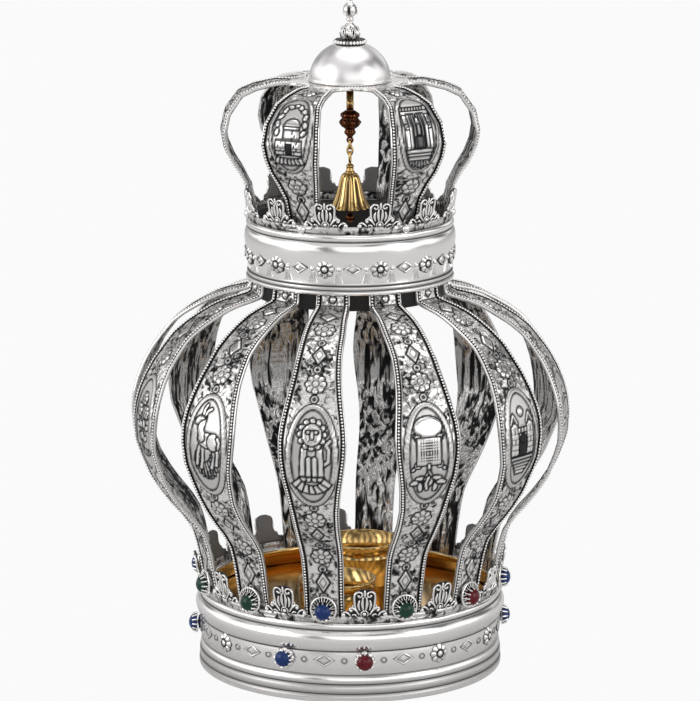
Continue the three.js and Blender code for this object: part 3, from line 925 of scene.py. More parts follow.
class EmblemCutter:
    """Cuts a medallion's emblem in a field about 25 wide and 56 high, its middle at 0, 0."""

    def __init__(self, sheet: Chasing) -> None:
        """Keeps the sheet, in the field's own measures."""
        self.field = sheet

    def cut(self, emblem: Emblem) -> None:
        """Cuts one emblem."""
        getattr(self, emblem.value)()

    def _grass(self, low: float, high: float) -> None:
        """Blades of grass that follow the foot of the field.

        Args:
            low: height of its foot in the middle.
            high: the blades' length.
        """
        for i in range(-4, 5):
            foot = low - 0.32 * (16 - i * i) * 0.5
            lean = 1.6 + 0.5 * (i % 3)
            self.field.bar([(i * 2.5, foot), (i * 2.5 + lean, foot + high - abs(i) * 0.5)], 1.0)

    def _courses(self, left: float, right: float, low: float, high: float, rows: int) -> None:
        """A wall of laid blocks.

        Args:
            left, right, low, high: the wall's edges.
            rows: how many courses.
        """
        self.field.block((left + right) / 2, (low + high) / 2, (right - left) / 2, (high - low) / 2)
        step = (high - low) / rows
        for row in range(1, rows):
            y = low + row * step
            self.field.cut(self.field.path([(left, y), (right, y)]), 0.28)
        for row in range(rows):
            x = left + step * (0.9 + 0.8 * (row % 2))
            while x < right - 1:
                self.field.cut(self.field.path([(x, low + row * step), (x, low + (row + 1) * step)]), 0.28)
                x += step * 1.8

    def _leaves(self, points: Sequence[Pair], size: float) -> None:
        """Leaves in pairs along a stem.

        Args:
            points: the stem.
            size: length of a leaf.
        """
        self.field.bar(points, 0.9)
        for (x0, y0), (x1, y1) in zip(points, points[1:]):
            turn = math.degrees(math.atan2(y1 - y0, x1 - x0))
            for side in (-1, 1):
                angle = math.radians(turn + side * 50)
                x, y = x1 + size * math.cos(angle), y1 + size * math.sin(angle)
                self.field.oval(x, y, size * 0.9, size * 0.4, math.degrees(angle))

    def lion(self) -> None:
        """A lion facing forward over an arch of blocks."""
        c = self.field.at(0, 1.5, 1.15)
        c.bar([(5, -6), (9.2, -3), (9.4, 3), (7.6, 6), (9.8, 8)], 1.5)
        c.oval(0, 0.5, 5.8, 9)
        for side in (-1, 1):
            c.bar([(side * 4.2, 3), (side * 4.6, -6), (side * 4.8, -12.5)], 3)
            c.bar([(side * 1.6, -2), (side * 1.7, -12.5)], 2.4)
            c.oval(side * 2, -13.2, 1.7, 1.1)
            c.oval(side * 5.2, -13.2, 1.9, 1.2)
        for i in range(12):
            angle = i / 12 * 2 * math.pi
            c.oval(6 * math.cos(angle), 11.5 + 6.6 * math.sin(angle), 1.9, 1.5,
                   math.degrees(angle))
        c.oval(0, 11.2, 5.1, 5.7)
        for side in (-1, 1):
            c.oval(side * 1.9, 12.6, 1.2, 0.7)
        c.bar([(0, 12.4), (0, 9.6)], 1.3)
        c.cut(c.path([(-1.9, 7.8), (0, 8.8), (1.9, 7.8)]), 0.35)
        for i in range(-3, 4):
            angle = math.radians(i * 18)
            x, y = 11 * math.sin(angle), -9.5 - 11.5 * math.cos(angle)
            self.field.block(x, y, 1.5, 2.6, i * 18, rise=0.6)

    def breastplate(self) -> None:
        """A square plate of stones under a round cap, over crossed branches."""
        c = self.field
        c.oval(0, 17.5, 9, 6.6, rise=0.8)
        for side in (-1, 1):
            c.bar([(side * 7.2, 10.6), (side * 9.4, 12.8)], 1.2)
            c.bar([(side * 7, -5.5), (side * 10.6, -8.6)], 1.3)
            for y in (11, -5.8):
                c.ring(side * 7.2, y, 1.5)
        c.block(0, 2.6, 7.6, 8.2)
        away = np.maximum(np.abs(c.u) - 6.9, np.abs(c.v - 2.6) - 7.4)
        lattice = np.cos(c.u * math.pi / 1.75) * np.cos((c.v - 2.6) * math.pi / 1.85)
        holes = smooth_step((np.abs(lattice) - 0.3) * 3) * smooth_step(-away / 0.7)
        c.tarnish_and_shade[...] = np.maximum(c.tarnish_and_shade, holes)
        c.height[...] -= 0.3 * holes
        c.bar([(0, -6), (0, -12)], 1.6)
        self._leaves([(0, -10), (-2.5, -14), (-5.5, -17.5)], 3.2)
        self._leaves([(0, -10), (2.5, -14), (5.5, -17.5)], 3.2)
        c.bar([(0, -14), (-1.5, -18), (-0.5, -22)], 1.6)

    def gate(self) -> None:
        """A town gate between two towers, with steps."""
        c = self.field
        self._courses(-8, 8, -9, 5, 5)
        for side in (-1, 1):
            self._courses(side * 7.6 - 3, side * 7.6 + 3, -9, 11, 6)
            c.bar([(side * 7.6 - 3, 11), (side * 7.6, 16.5), (side * 7.6 + 3, 11)], 1.2)
        for x in (-3, 0, 3):
            c.block(x, 6.4, 0.9, 1.2)
        c.block(0, -4, 2.9, 5, tone=0.9)
        c.oval(0, 0.8, 2.9, 2.4, tone=0.9)
        for row in range(5):
            c.block(0, -11.6 - row * 2.4, 10 - row * 1.5, 0.8)
        c.oval(0, 18, 2.6, 2.6)

    def scales(self) -> None:
        """A pair of scales on a post."""
        c = self.field
        c.bar([(0, -15), (0, 15)], 1.8)
        c.bar([(-9, 11), (0, 13.6), (9, 11)], 1.5)
        c.oval(0, 17, 2.2, 2.2)
        for side in (-1, 1):
            c.cut(c.path([(side * 9, 11), (side * 5.2, -1), (side * 9, 11), (side * 11, -1)]), 0.35)
            c.oval(side * 7.4, -2, 4.2, 1.6)
        for row in range(3):
            c.block(0, -16 - row * 2.6, 4 + row * 1.4, 0.9)

    def tents(self) -> None:
        """Two pitched tents among palms."""
        c = self.field
        for x, y, size in ((2.5, 4, 0.8), (-2.5, -6, 1.0)):
            for part in (-1, -0.5, 0, 0.5, 1):
                c.bar([(x, y + 9 * size), (x + part * 8 * size, y - 6 * size)], 1.9)
            c.oval(x, y - 3 * size, 1.6, 3.4, tone=0.9)
        self._leaves([(-7, 3), (-7.5, 8), (-6, 12)], 3)
        self._grass(-16, 4)
        c.oval(0, 18.5, 2.4, 2.4)

    def tree(self) -> None:
        """An olive tree with fruit."""
        c = self.field
        c.bar([(0, -17), (0.6, -8), (-0.4, 2)], 2.8)
        c.bar([(0.3, -5), (5, 2)], 1.6)
        c.bar([(0, -3), (-5, 3)], 1.6)
        for ring, count, radius in ((0, 1, 0.0), (1, 6, 4.6), (2, 11, 8.6)):
            for i in range(count):
                angle = 2 * math.pi * (i + ring * 0.5) / count
                x, y = radius * math.cos(angle), 9 + radius * 1.15 * math.sin(angle)
                c.oval(x, y, 2.6, 1.5, math.degrees(angle) + 35)
        for x, y in ((-6, 5), (4, 4), (0, 13), (6, 11), (-4, 12)):
            c.oval(x, y, 1.0, 1.0, rise=0.7)
        self._grass(-16, 4)

    def sky(self) -> None:
        """Sun, crescent and stars."""
        c = self.field
        for i in range(16):
            angle = i / 16 * 2 * math.pi
            a, b = (5 * math.cos(angle), 5 * math.sin(angle)), (9 * math.cos(angle), 9 * math.sin(angle))
            c.bar([(a[0], a[1] + 7), (b[0], b[1] + 7)], 1.1)
        c.oval(0, 7, 5, 5, rise=0.8)
        c.oval(-1, -12, 5.4, 5.4)
        c.oval(1.6, -10.8, 4.4, 4.4, rise=0.0, tone=0.5)
        for x, y in ((-6.5, -4), (7, -5), (7, -15), (0, 20), (-6, -19), (3, -22)):
            for turn in (0, 60, 120):
                dx, dy = 1.6 * math.cos(math.radians(turn)), 1.6 * math.sin(math.radians(turn))
                c.bar([(x - dx, y - dy), (x + dx, y + dy)], 0.8)

    def ship(self) -> None:
        """A sailing ship on waves."""
        c = self.field
        c.bar([(0, -7), (0, 16)], 1.3)
        for row in range(5):
            wide = 6.5 - abs(row - 1.5) * 1.1
            c.bar([(0.8, 12 - row * 3.4), (wide, 11 - row * 3.6)], 2.6)
            c.bar([(-0.8, 12 - row * 3.4), (-wide * 0.8, 10.6 - row * 3.4)], 2.6)
        c.bar([(-9.5, -6), (-7, -10), (7, -10), (9.8, -5.4)], 3.4)
        for row in range(4):
            y = -14 - row * 2.7
            wide = 9.5 - row * 1.8
            points = [(x, y + 0.8 * math.sin(x * 1.3 + row)) for x in np.linspace(-wide, wide, 13)]
            c.bar(points, 1.0)

    def sheaf(self) -> None:
        """A bound sheaf of ears."""
        c = self.field
        for i in range(-4, 5):
            c.bar([(i * 1.5, -15), (i * 0.4, -3), (i * 1.9, 8)], 1.2)
        for i in range(-4, 5):
            for k in range(4):
                x, y = i * (1.9 + 0.18 * k), 8.5 + k * 2.4 - abs(i) * 0.7
                c.oval(x - 0.6, y, 1.3, 0.7, 60)
                c.oval(x + 0.6, y, 1.3, 0.7, 120)
        c.bar([(-3.4, -3), (3.4, -3)], 2.4)
        self._grass(-17, 3)

    def wolf(self) -> None:
        """A wolf over grass."""
        c = self.field
        for foot in (-6.5, -3.6, 4.2, 7.2):
            c.bar([(foot * 0.8, 1), (foot * 0.95, -5), (foot * 0.85, -11)], 1.9)
        c.oval(0, 2, 8.4, 4.4, -6)
        c.oval(5.5, 2.2, 4.4, 4.8)
        c.bar([(-4, 5), (-6, 8), (-7, 10)], 4.2)
        c.oval(-8.6, 10.2, 3.6, 2.3, 20)
        c.bar([(-6, 11.5), (-4.8, 13.1), (-2.8, 14.1)], 1.2)
        c.bar([(9, 4), (10.4, 0), (9.6, -3)], 1.4)
        c.cut(np.hypot(c.u + 9, c.v - 10.6), 0.4)
        c.bar([(8, 4), (10.6, 0), (9.8, -6)], 2.4)
        self._grass(-15, 5)
        self._leaves([(3, 12), (4, 16), (2, 20)], 2.8)

    def flowers(self) -> None:
        """Three flowers on leafy stems."""
        c = self.field
        for x, y in ((-6, 9), (0, 17), (6, 9)):
            self._leaves([(0, -18), (x * 0.3, -10), (x * 0.8, -2), (x, y - 4)], 3.4)
            c.rosette(x, y, 4.2, 6)
        self._grass(-17, 4)

    def deer(self) -> None:
        """A deer over tall grass."""
        c = self.field
        for i in range(9):
            angle = math.radians(196 + 18 * i)
            x, y = 9.0 * math.cos(angle), -6 + 14.5 * math.sin(angle)
            c.bar([(x, y), (x * 0.72 - 1.2, y * 0.6 + 1.2)], 1.2)
            c.bar([(x * 0.98 + 1.4, y + 0.4), (x * 0.84 + 1.2, y * 0.8)], 0.9)
        for points in ([(-4, 2), (-6.2, -5), (-7.4, -12)], [(-2, 1), (-2.4, -8), (-4, -14)],
                       [(5.5, 1), (7.2, -6), (4.6, -13)], [(7.6, 2), (9.6, -4), (8.4, -11)]):
            c.bar(points, 2.0)
        c.oval(1.6, 3.8, 8.2, 4.6, -8)
        c.oval(6, 3.2, 4.2, 5.2)
        c.bar([(-3.4, 5), (-4.6, 11), (-3.2, 18)], 4.4)
        c.bar([(-3, 18.6), (-7, 16.4), (-8.2, 14.6)], 2.8)
        c.bar([(-2.6, 19.4), (-0.6, 22.6), (1.6, 23.8)], 1.4)
        c.bar([(-4, 20), (-3.6, 23.4), (-2, 26)], 1.2)
        c.bar([(9.4, 6), (10.8, 3), (10, 0)], 1.4)
        c.cut(np.hypot(c.u + 5, c.v - 18), 0.45)

    def portal(self) -> None:
        """A curtained portal with a hanging lamp, on steps."""
        c = self.field
        for x in np.linspace(-9, 9, 9):
            c.oval(x, 17, 1.1, 1.1)
        c.block(0, 14, 10.4, 1.2)
        for side in (-1, 1):
            c.block(side * 8.6, 0, 1.8, 12)
            c.ring(side * 8.6, 4, 1.2)
            for k in range(4):
                c.bar([(side * (1.6 + k * 1.5), 12.4), (side * (2.6 + k * 1.3), -11)], 1.1)
        c.oval(0, 7, 1.2, 3.2)
        c.bar([(0, 5), (0, -1)], 0.9)
        c.block(0, -7, 2.2, 3.4, tone=0.7)
        for row in range(3):
            c.block(0, -13.5 - row * 2.5, 10 - row * 0.9, 0.9)
        for i in range(-3, 4):
            c.bar([(i * 2.2, -21), (i * 2.2 + 1.2, -24.5 + abs(i) * 0.6)], 1.1)

    def domed_house(self) -> None:
        """A domed house behind a wall, under an arch of leaves."""
        c = self.field
        for i in range(11):
            angle = math.radians(-15 + 21 * i)
            x, y = 10.4 * math.cos(angle), 4 + 16 * math.sin(angle)
            c.oval(x, y, 2.3, 1.3, math.degrees(angle) + 60 + 50 * (i % 2))
        c.oval(1, 4, 5.6, 5.6)
        for k in range(1, 5):
            y = 0.5 + k * 1.7
            c.cut(c.path([(-4.5, y), (6.5, y)]) + (c.oval_distance(1, 4, 5.6, 5.6) > 0) * 9, 0.28)
        self._courses(-4, 7, -6, 1, 3)
        self._courses(-10, 9, -15, -6, 4)
        c.block(0, -11.5, 1.6, 3, tone=0.9)
        for i in range(-3, 4):
            c.block(i * 2.9, -19.5 + 0.28 * (9 - i * i) * -0.4, 1.1, 1.9, i * 9)


@dataclass(frozen=True)
class Station:
    """A place along a rib: radius, height and half width."""

    r: float
    z: float
    w: float


class RibPath:
    """The line that a rib follows up the crown, cut into even rows."""

    def __init__(self, stations: Sequence[Station], pitch: float, window: float) -> None:
        """Eases the stations' corners and measures the line.

        Args:
            stations: places along the rib.
            pitch: distance between rows.
            window: length over which a corner is eased.
        """
        rows = rounded([(s.r, s.z, s.w) for s in stations], pitch, window)
        self.r, self.z, self.w = rows.T
        self.s = np.r_[0, np.cumsum(np.hypot(np.diff(self.r), np.diff(self.z)))]
        slope_r, slope_z = np.gradient(self.r), np.gradient(self.z)
        length = np.hypot(slope_r, slope_z)
        self.out_r, self.out_z = slope_z / length, -slope_r / length

    def along(self, height: float) -> float:
        """Distance along the line at which it first reaches a height."""
        return float(self.s[np.argmax(self.z >= height)])

    def points(self, degrees: float, across: Array, out: Array | float) -> Array:
        """Places on the rib, one row of them for each row of the line.

        Args:
            degrees: the rib's angle.
            across: distance from its middle.
            out: height over its sheet.

        Returns:
            The points.
        """
        shape = (-1,) + (1,) * (np.ndim(across) - 1)
        r, z, n, m = (a.reshape(shape) for a in (self.r, self.z, self.out_r, self.out_z))
        return polar(degrees + np.degrees(across / r), r + n * out, z + m * out)


@dataclass(frozen=True)
class EdgeProfile:
    """Edge of a rib: a thin wire, a groove, the seat of the beads, and a second groove."""

    places: tuple[float, ...] = (0.0, 0.2, 0.6, 0.9, 1.2, 2.6, 3.0, 3.5, 3.9)
    heights: tuple[float, ...] = (-0.5, 0.45, 0.6, 0.0, -0.25, -0.15, -0.3, -0.15, 0.0)
    blacks: tuple[float, ...] = (0.3, 0.0, 0.0, 0.95, 1.0, 1.0, 1.0, 0.9, 0.3)
    bead_centre: float = 1.9
    bead_radius: float = 0.86
    bead_lift: float = 0.6
    bead_pitch: float = 2.0
    wire_radius: float = 0.42
    wire_lift: float = 0.25


class Rib:
    """One chased rib: its sheet, with the relief on it, as a closed mesh."""

    SHEET = 1.4
    BACK_COLUMNS = 6
    BACK_DENTS = 0.35
    BACK_TARNISH, BACK_GROUND = 0.12, 1.35
    DENTS = ((2.6, 0.10), (1.7, 0.08), (4.8, 0.14))

    def __init__(self, path: RibPath, edge: EdgeProfile, columns: int, seed: int) -> None:
        """Lays out the sheet's grid.

        Args:
            path: the line that it follows.
            edge: the shape of its edges.
            columns: points across between them.
            seed: starts its own pattern of dents.
        """
        self.path, self.edge = path, edge
        inner = edge.places[-1]
        reach = np.maximum(path.w - inner, 0.1)[:, None]
        middle = np.linspace(-1, 1, columns + 2)[1:-1][None, :] * reach
        left = np.array(edge.places)[None, :] - path.w[:, None]
        self.across = np.hstack([left, middle, -left[:, ::-1]])
        along = np.broadcast_to(path.s[:, None], self.across.shape)
        self.sheet = Chasing(self.across, along.copy())
        self.seed = seed
        self._hammer()

    def _hammer(self) -> None:
        """Small dents all over the ground, different on each rib."""
        chance = np.random.default_rng(self.seed)
        u, v = self.sheet.u, self.sheet.v
        for size, depth in self.DENTS:
            for turn in chance.uniform(0, math.pi, 3):
                phase = chance.uniform(0, 6.28, 2)
                a = (u * math.cos(turn) + v * math.sin(turn)) / size * 3.0 + phase[0]
                b = (v * math.cos(turn) - u * math.sin(turn)) / size * 2.2 + phase[1]
                self.sheet.height += depth * np.sin(a + 0.8 * np.sin(b)) * np.sin(b) / 1.6

    def mesh(self, name: str, degrees: float, edge_strength: Array | None = None) -> Mesh:
        """Closes the sheet with its back and turns it into place.

        Args:
            name: the mesh's name.
            degrees: the rib's angle.
            edge_strength: how much of the edge there is at each row.

        Returns:
            The mesh.
        """
        sheet, edge = self.sheet, self.edge
        count = len(edge.places)
        strength = np.ones(len(self.path.s)) if edge_strength is None else edge_strength
        fade = strength[:, None]
        heights, blacks = np.array(edge.heights), np.array(edge.blacks)
        for columns, order in ((slice(0, count), 1), (slice(-count, None), -1)):
            sheet.height[:, columns] = heights[::order] * fade
            sheet.tarnish_and_shade[:, columns] = blacks[::order] * fade
            sheet.ground[:, columns] = 0.0
        ends = np.linspace(1, -1, self.BACK_COLUMNS)[None, :] * self.path.w[:, None]
        picks = np.linspace(self.across.shape[1] - 1, 0, self.BACK_COLUMNS).round().astype(int)
        dents = sheet.height[:, picks] * self.BACK_DENTS
        dents[:, [0, -1]] = 0
        across = np.hstack([self.across, ends])
        out = np.hstack([sheet.height, dents - self.SHEET])
        marks = {
            mark: np.hstack([np.clip(front, 0, 1), np.full(ends.shape, back)])
            for mark, front, back in (("tarnish_and_shade", sheet.tarnish_and_shade, self.BACK_TARNISH),
                                      ("ground", sheet.ground, self.BACK_GROUND))}
        return lofted(name, self.path.points(degrees, across, out), marks,
                      back_from=self.across.shape[1])

    def edge_line(self, degrees: float, side: int, inset: float, lift: float) -> Array:
        """The line that runs along one edge, a little inside it."""
        return self.path.points(degrees, side * (self.path.w - inset), lift)


class StoneSetting:
    """A cabochon in claws, made about Z with its face up."""

    CLAW_WIRE, RAY_WIRE = 0.62, 0.26
    RAY_TURN = 7.5

    def __init__(self, shop: Workshop) -> None:
        """Keeps the workshop."""
        self.shop = shop

    @staticmethod
    def stone(radius: float, rise: float) -> Mesh:
        """A high round cabochon that stands on z 0."""
        arc = [(radius * math.cos(a), 0.25 * rise + 0.75 * rise * math.sin(a))
               for a in np.linspace(0, math.pi / 2, 9)]
        return Turning([(0, 0), (radius, 0), *arc[:-1], (0, rise)], 28).mesh("stone")

    def claws(self, radius: float, rise: float, count: int) -> Mesh:
        """Short claws that lean on a stone, each with a round tip."""
        line = polar(0, np.array([radius + 1.2, radius + 0.7, radius * 0.9 + 0.2]),
                     np.array([-0.2, rise * 0.35, rise * 0.66]))
        return self.shop.copies(self.shop.wire([line], self.CLAW_WIRE, 1.2), count)

    def disc(self, radius: float, thick: float, stone: float) -> Mesh:
        """A polished disc with a serrated sun round its stone.

        Args:
            radius, thick: the disc's size.
            stone: radius of its stone.

        Returns:
            The disc.
        """
        profile = [(0, -thick), (radius - 0.3, -thick), (radius, -thick + 0.4), (radius, -0.2),
                   (radius - 0.5, 0.15), (radius - 1.1, -0.1), (stone + 0.2, -0.2), (0, -0.2)]
        return Turning(profile, 40).mesh("disc")

    def rays(self, inner: float, outer: float, count: int) -> Mesh:
        """Fine ridges that run in to the stone, over a ring of painted shadow."""
        line = polar(0, np.array([inner, (inner + outer) / 2, outer]), np.array([0.7, 0.35, 0.0]))
        return self.shop.copies(self.shop.wire([line], self.RAY_WIRE, 1.4, 4), count,
                                self.RAY_TURN)

    def shadow(self, inner: float, outer: float) -> Mesh:
        """A painted shadow: a black ring round the stone, under the ridges."""
        ring = Turning([(inner, -0.1), (outer, -0.1), (outer, 0.05), (inner, 0.2)], 32, ring=True)
        return ring.mesh("ground", shade=lambda angle, height: np.ones_like(angle))


LOWER_STATIONS = tuple(Station(*row) for row in (
    (94.2, 51.7, 12.8), (96.2, 62, 12.9), (98.4, 74, 13.0), (101, 86, 13.3), (103.8, 95, 13.6),
    (110, 104, 14.0), (117.3, 112.3, 14.3), (124, 121, 14.7), (130.6, 131.4, 15.5),
    (136.6, 146, 17.6), (139.6, 155, 19.4), (140.3, 168, 21.2), (139.3, 178, 21.5),
    (137, 187, 20.6), (133, 197, 18.8), (127.6, 207, 16.9), (121, 216, 15.4),
    (114.5, 224, 14.5), (106, 230.5, 14.0), (96.8, 236, 13.6), (88, 240.5, 12.8),
    (80, 243.3, 12.0), (71, 245.4, 11.4), (64.4, 247.2, 10.8), (63.6, 254.3, 10.6),
))
UPPER_STATIONS = tuple(Station(*row) for row in (
    (61.2, 287, 11.6), (61.6, 300, 11.9), (65.3, 314, 12.6), (70.6, 323.5, 15.0),
    (76.5, 332, 17.6), (80.6, 341, 19.4), (82.3, 350, 20.6), (79.6, 362, 19.6),
    (71, 373.6, 16.2), (61.7, 377.6, 14.2), (50, 380.3, 12.7),
))


@dataclass(frozen=True)
class SubAssembly:
    """A part of the crown that is made in the workshop."""

    shop: Workshop


@dataclass(frozen=True)
class LowerTier(SubAssembly):
    """Twelve bowed ribs, which rise from the strip of palmettes, and their foot stones."""

    count: int = 12
    pitch: float = 0.84
    ease: float = 7.0
    columns: int = 42
    seed: int = 100
    stone_height: float = 59.6
    rings: tuple[float, ...] = (17.2, 36.6, 57.5, 93.2, 164.6, 184.4, 205.0)
    diamonds: tuple[tuple[float, float, float], ...] = (
        (27.2, 3.9, 6.4), (68.5, 3.4, 5.2), (194.6, 3.9, 6.2), (231.8, 4.6, 5.0))
    rosettes: tuple[float, ...] = (46.8, 83.0, 174.6, 217.6)
    rosette: float = 6.3
    ring: float = 1.7
    rivet: float = 1.8
    rivet_height: float = 251.0
    collar_line: float = 4.2
    medallion: Pair = (136.3, 199.5)
    medallion_half: float = 16.2
    medallion_frame: float = 3.4
    disc_lift: float = 1.2
    disc_radius: float = 8.6
    disc_thick: float = 1.5
    disc_back: float = 98.2
    stem: Pair = (4.2, 3.2)
    stem_back: float = 95.4
    claws: int = 12
    rays: int = 24
    ray_radius: float = 7.7
    stone_radius: float = 5.3
    stone_rise: float = 5.2
    foot_stones: tuple[Look, ...] = (
        Look.BLUE, Look.GREEN, Look.RED, Look.BLUE, Look.GREEN, Look.RED,
        Look.BLUE, Look.GREEN, Look.RED, Look.BLUE, Look.GREEN, Look.GREEN,
    )
    emblems: tuple[Emblem, ...] = (
        Emblem.LION, Emblem.PLATE, Emblem.GATE, Emblem.SCALES, Emblem.TENTS, Emblem.TREE,
        Emblem.SKY, Emblem.SHIP, Emblem.SHEAF, Emblem.WOLF, Emblem.FLOWERS, Emblem.DEER,
    )

    def build(self) -> None:
        """Makes every rib with its beads, disc, stone and claws."""
        path = RibPath(LOWER_STATIONS, self.pitch, self.ease)
        edge = EdgeProfile()
        for index in range(self.count):
            degrees = 360 / self.count * index
            number = f"{index + 1:02d}"
            rib = Rib(path, edge, self.columns, self.seed + index)
            self._chase(rib, self.emblems[index])
            self.shop.piece(f"lower_rib_{number}_sheet", rib.mesh("rib", degrees), Look.CHASED,
                            f"lower_rib_{number}", lining=Look.SHEET_BACK)
            lines = [rib.edge_line(degrees, side, edge.bead_centre, edge.bead_lift)
                     for side in (-1, 1)]
            beads = self.shop.beads(lines, edge.bead_pitch, edge.bead_radius)
            self.shop.piece(f"lower_rib_{number}_beads", beads, Look.POLISHED)
            self._foot(number, degrees, self.foot_stones[index])

    def _chase(self, rib: Rib, emblem: Emblem) -> None:
        """Draws the row of ornaments and the medallion up a rib.

        Args:
            rib: the rib.
            emblem: what its medallion shows.
        """
        sheet, path = rib.sheet, rib.path
        for place in self.rings:
            sheet.ring(0, place, self.ring)
        for place, half, tall in self.diamonds:
            sheet.diamond(0, place, half, tall)
        for place in self.rosettes:
            sheet.rosette(0, place, self.rosette)
        low, high = (path.along(z) for z in self.medallion)
        field = sheet.medallion(0, (low + high) / 2, self.medallion_half, (high - low) / 2,
                                self.medallion_frame)
        EmblemCutter(field).cut(emblem)
        top = path.along(self.rivet_height)
        sheet.cut(np.abs(sheet.v - top + self.collar_line), 0.5)
        sheet.oval(0, top, self.rivet, self.rivet, rise=1.5)

    def _foot(self, number: str, degrees: float, colour: Look) -> None:
        """The round setting at the foot of a rib, and its stone.

        Args:
            number: the rib's number.
            degrees: its angle.
            colour: its stone.
        """
        setting = StoneSetting(self.shop)
        disc_face = self.disc_back + self.disc_thick
        disc_height = self.stone_height + self.disc_lift
        wide, long = self.stem
        stem = Turning([(0, 0), (wide, 0), (wide, long), (0, long)], 24).mesh("stem")
        parts = [stood_out(mesh, degrees, radius, height) for mesh, radius, height in (
            (setting.disc(self.disc_radius, self.disc_thick, self.stone_radius), disc_face,
             disc_height),
            (stem, self.stem_back, disc_height),
            (setting.shadow(self.stone_radius - 1.5, self.ray_radius - 0.1), disc_face, disc_height),
            (setting.rays(self.stone_radius, self.ray_radius, self.rays), disc_face, disc_height),
            (setting.claws(self.stone_radius, self.stone_rise, self.claws), disc_face,
             self.stone_height))]
        self.shop.piece(f"foot_setting_{number}", parts, Look.POLISHED)
        stone = stood_out(setting.stone(self.stone_radius, self.stone_rise), degrees,
                          disc_face + 0.3, self.stone_height)
        self.shop.piece(f"foot_cabochon_{number}", stone, colour, f"foot_stone_{number}")


@dataclass(frozen=True)
class UpperTier(SubAssembly):
    """Six wide ribs that arch in to a flat plate under the dome."""

    count: int = 6
    turn: float = 42.0
    pitch: float = 0.9
    ease: float = 2.0
    columns: int = 38
    seed: int = 300
    plate_height: float = 380.6
    plate_rows: tuple[float, ...] = (30.0, 20.0, 12.0, 7.0)
    arch_start: float = 50.0
    arch_radius: float = 14.0
    gap: float = 0.15
    flat_relief: float = 0.25
    emblem_scale: float = 0.92
    petals: int = 6
    rosettes: tuple[tuple[float, float, float], ...] = ((322.3, 0.0, 6.0), (379.0, 1.0, 4.2))
    ring: Pair = (313.6, 1.8)
    diamond: tuple[float, float, float] = (306.0, 3.6, 6.4)
    medallion: Pair = (332.5, 377.2)
    medallion_half: float = 14.6
    medallion_frame: float = 2.2
    emblems: tuple[Emblem, ...] = (
        Emblem.PORTAL, Emblem.TREE, Emblem.GATE, Emblem.SHEAF, Emblem.FLOWERS,
        Emblem.DOMED_HOUSE,
    )

    def _stations(self) -> tuple[Station, ...]:
        """The rib's stations with its share of the plate.

        Returns:
            The stations.
        """
        share = math.pi / self.count
        plate = []
        for angle in np.linspace(0, math.pi / 2, 9)[1:]:
            r = self.arch_start - self.arch_radius * math.sin(angle)
            opening = (self.arch_radius - 1) * math.cos(angle)
            plate.append(Station(r, self.plate_height, r * share - opening - self.gap))
        for r in self.plate_rows:
            plate.append(Station(r, self.plate_height, r * share - self.gap))
        return (*UPPER_STATIONS, *plate)

    def build(self) -> None:
        """Makes every rib, and the beads that run up and over each opening."""
        path = RibPath(self._stations(), self.pitch, self.ease)
        edge = EdgeProfile()
        inner = self.arch_start - self.arch_radius
        plate = path.z > self.plate_height - 1.5
        strength = np.where(plate, smooth_step((path.r - inner - 1) / 5), 1.0)
        for index in range(self.count):
            degrees = self.turn + 360 / self.count * index
            rib = Rib(path, edge, self.columns, self.seed + index)
            self._chase(rib, self.emblems[index])
            flat = (path.r < inner + 2)[:, None] & plate[:, None]
            for field in (rib.sheet.height, rib.sheet.tarnish_and_shade, rib.sheet.ground):
                field[np.broadcast_to(flat, field.shape)] *= self.flat_relief
            number = index + 1
            self.shop.piece(f"upper_rib_{number}_sheet", rib.mesh("rib", degrees, strength),
                            Look.CHASED, f"upper_rib_{number}", lining=Look.SHEET_BACK)
            beads = self.shop.beads([self._opening(path, degrees, edge.bead_centre, edge.bead_lift)],
                                    edge.bead_pitch, edge.bead_radius)
            wire = self.shop.wire([self._opening(path, degrees, 0.35, edge.wire_lift)],
                                  edge.wire_radius, 1.3, 5)
            self.shop.piece(f"upper_opening_{number}_beads", [beads, wire], Look.POLISHED)

    def _opening(self, path: RibPath, degrees: float, inset: float, lift: float) -> Array:
        """The line round an opening: up one rib, round the arch, and down the next rib.

        Args:
            path: the ribs' line.
            degrees: angle of the rib before the opening.
            inset: distance inside the ribs' edges.
            lift: height over the sheet.

        Returns:
            The line.
        """
        step = 360 / self.count
        on_plate = (path.z > self.plate_height - 2) & (path.r <= self.arch_start)
        last = int(np.argmax(on_plate))
        up = path.points(degrees, path.w - inset, lift)[:last]
        down = path.points(degrees + step, inset - path.w, lift)[:last][::-1]
        arch = []
        for angle in np.linspace(8, 172, 24):
            cosine, sine = math.cos(math.radians(angle)), math.sin(math.radians(angle))
            radius = self.arch_start - (self.arch_radius + inset) * sine
            across = -(self.arch_radius - 1 + inset) * cosine
            turn = degrees + step / 2 + math.degrees(across / radius)
            arch.append(polar(turn, radius, self.plate_height + lift))
        return np.vstack([up, np.array(arch), down])

    def _chase(self, rib: Rib, emblem: Emblem) -> None:
        """Draws the ornaments and the medallion up a rib.

        Args:
            rib: the rib.
            emblem: what its medallion shows.
        """
        sheet, path = rib.sheet, rib.path
        low, high = (path.along(z) for z in self.medallion)
        field = sheet.medallion(0, (low + high) / 2, self.medallion_half, (high - low) / 2,
                                self.medallion_frame)
        EmblemCutter(field.at(0, 0, self.emblem_scale)).cut(emblem)
        for height, shift, radius in self.rosettes:
            sheet.rosette(0, path.along(height) + shift, radius, self.petals)
        sheet.ring(0, path.along(self.ring[0]), self.ring[1])
        height, half, tall = self.diamond
        sheet.diamond(0, path.along(height), half, tall)


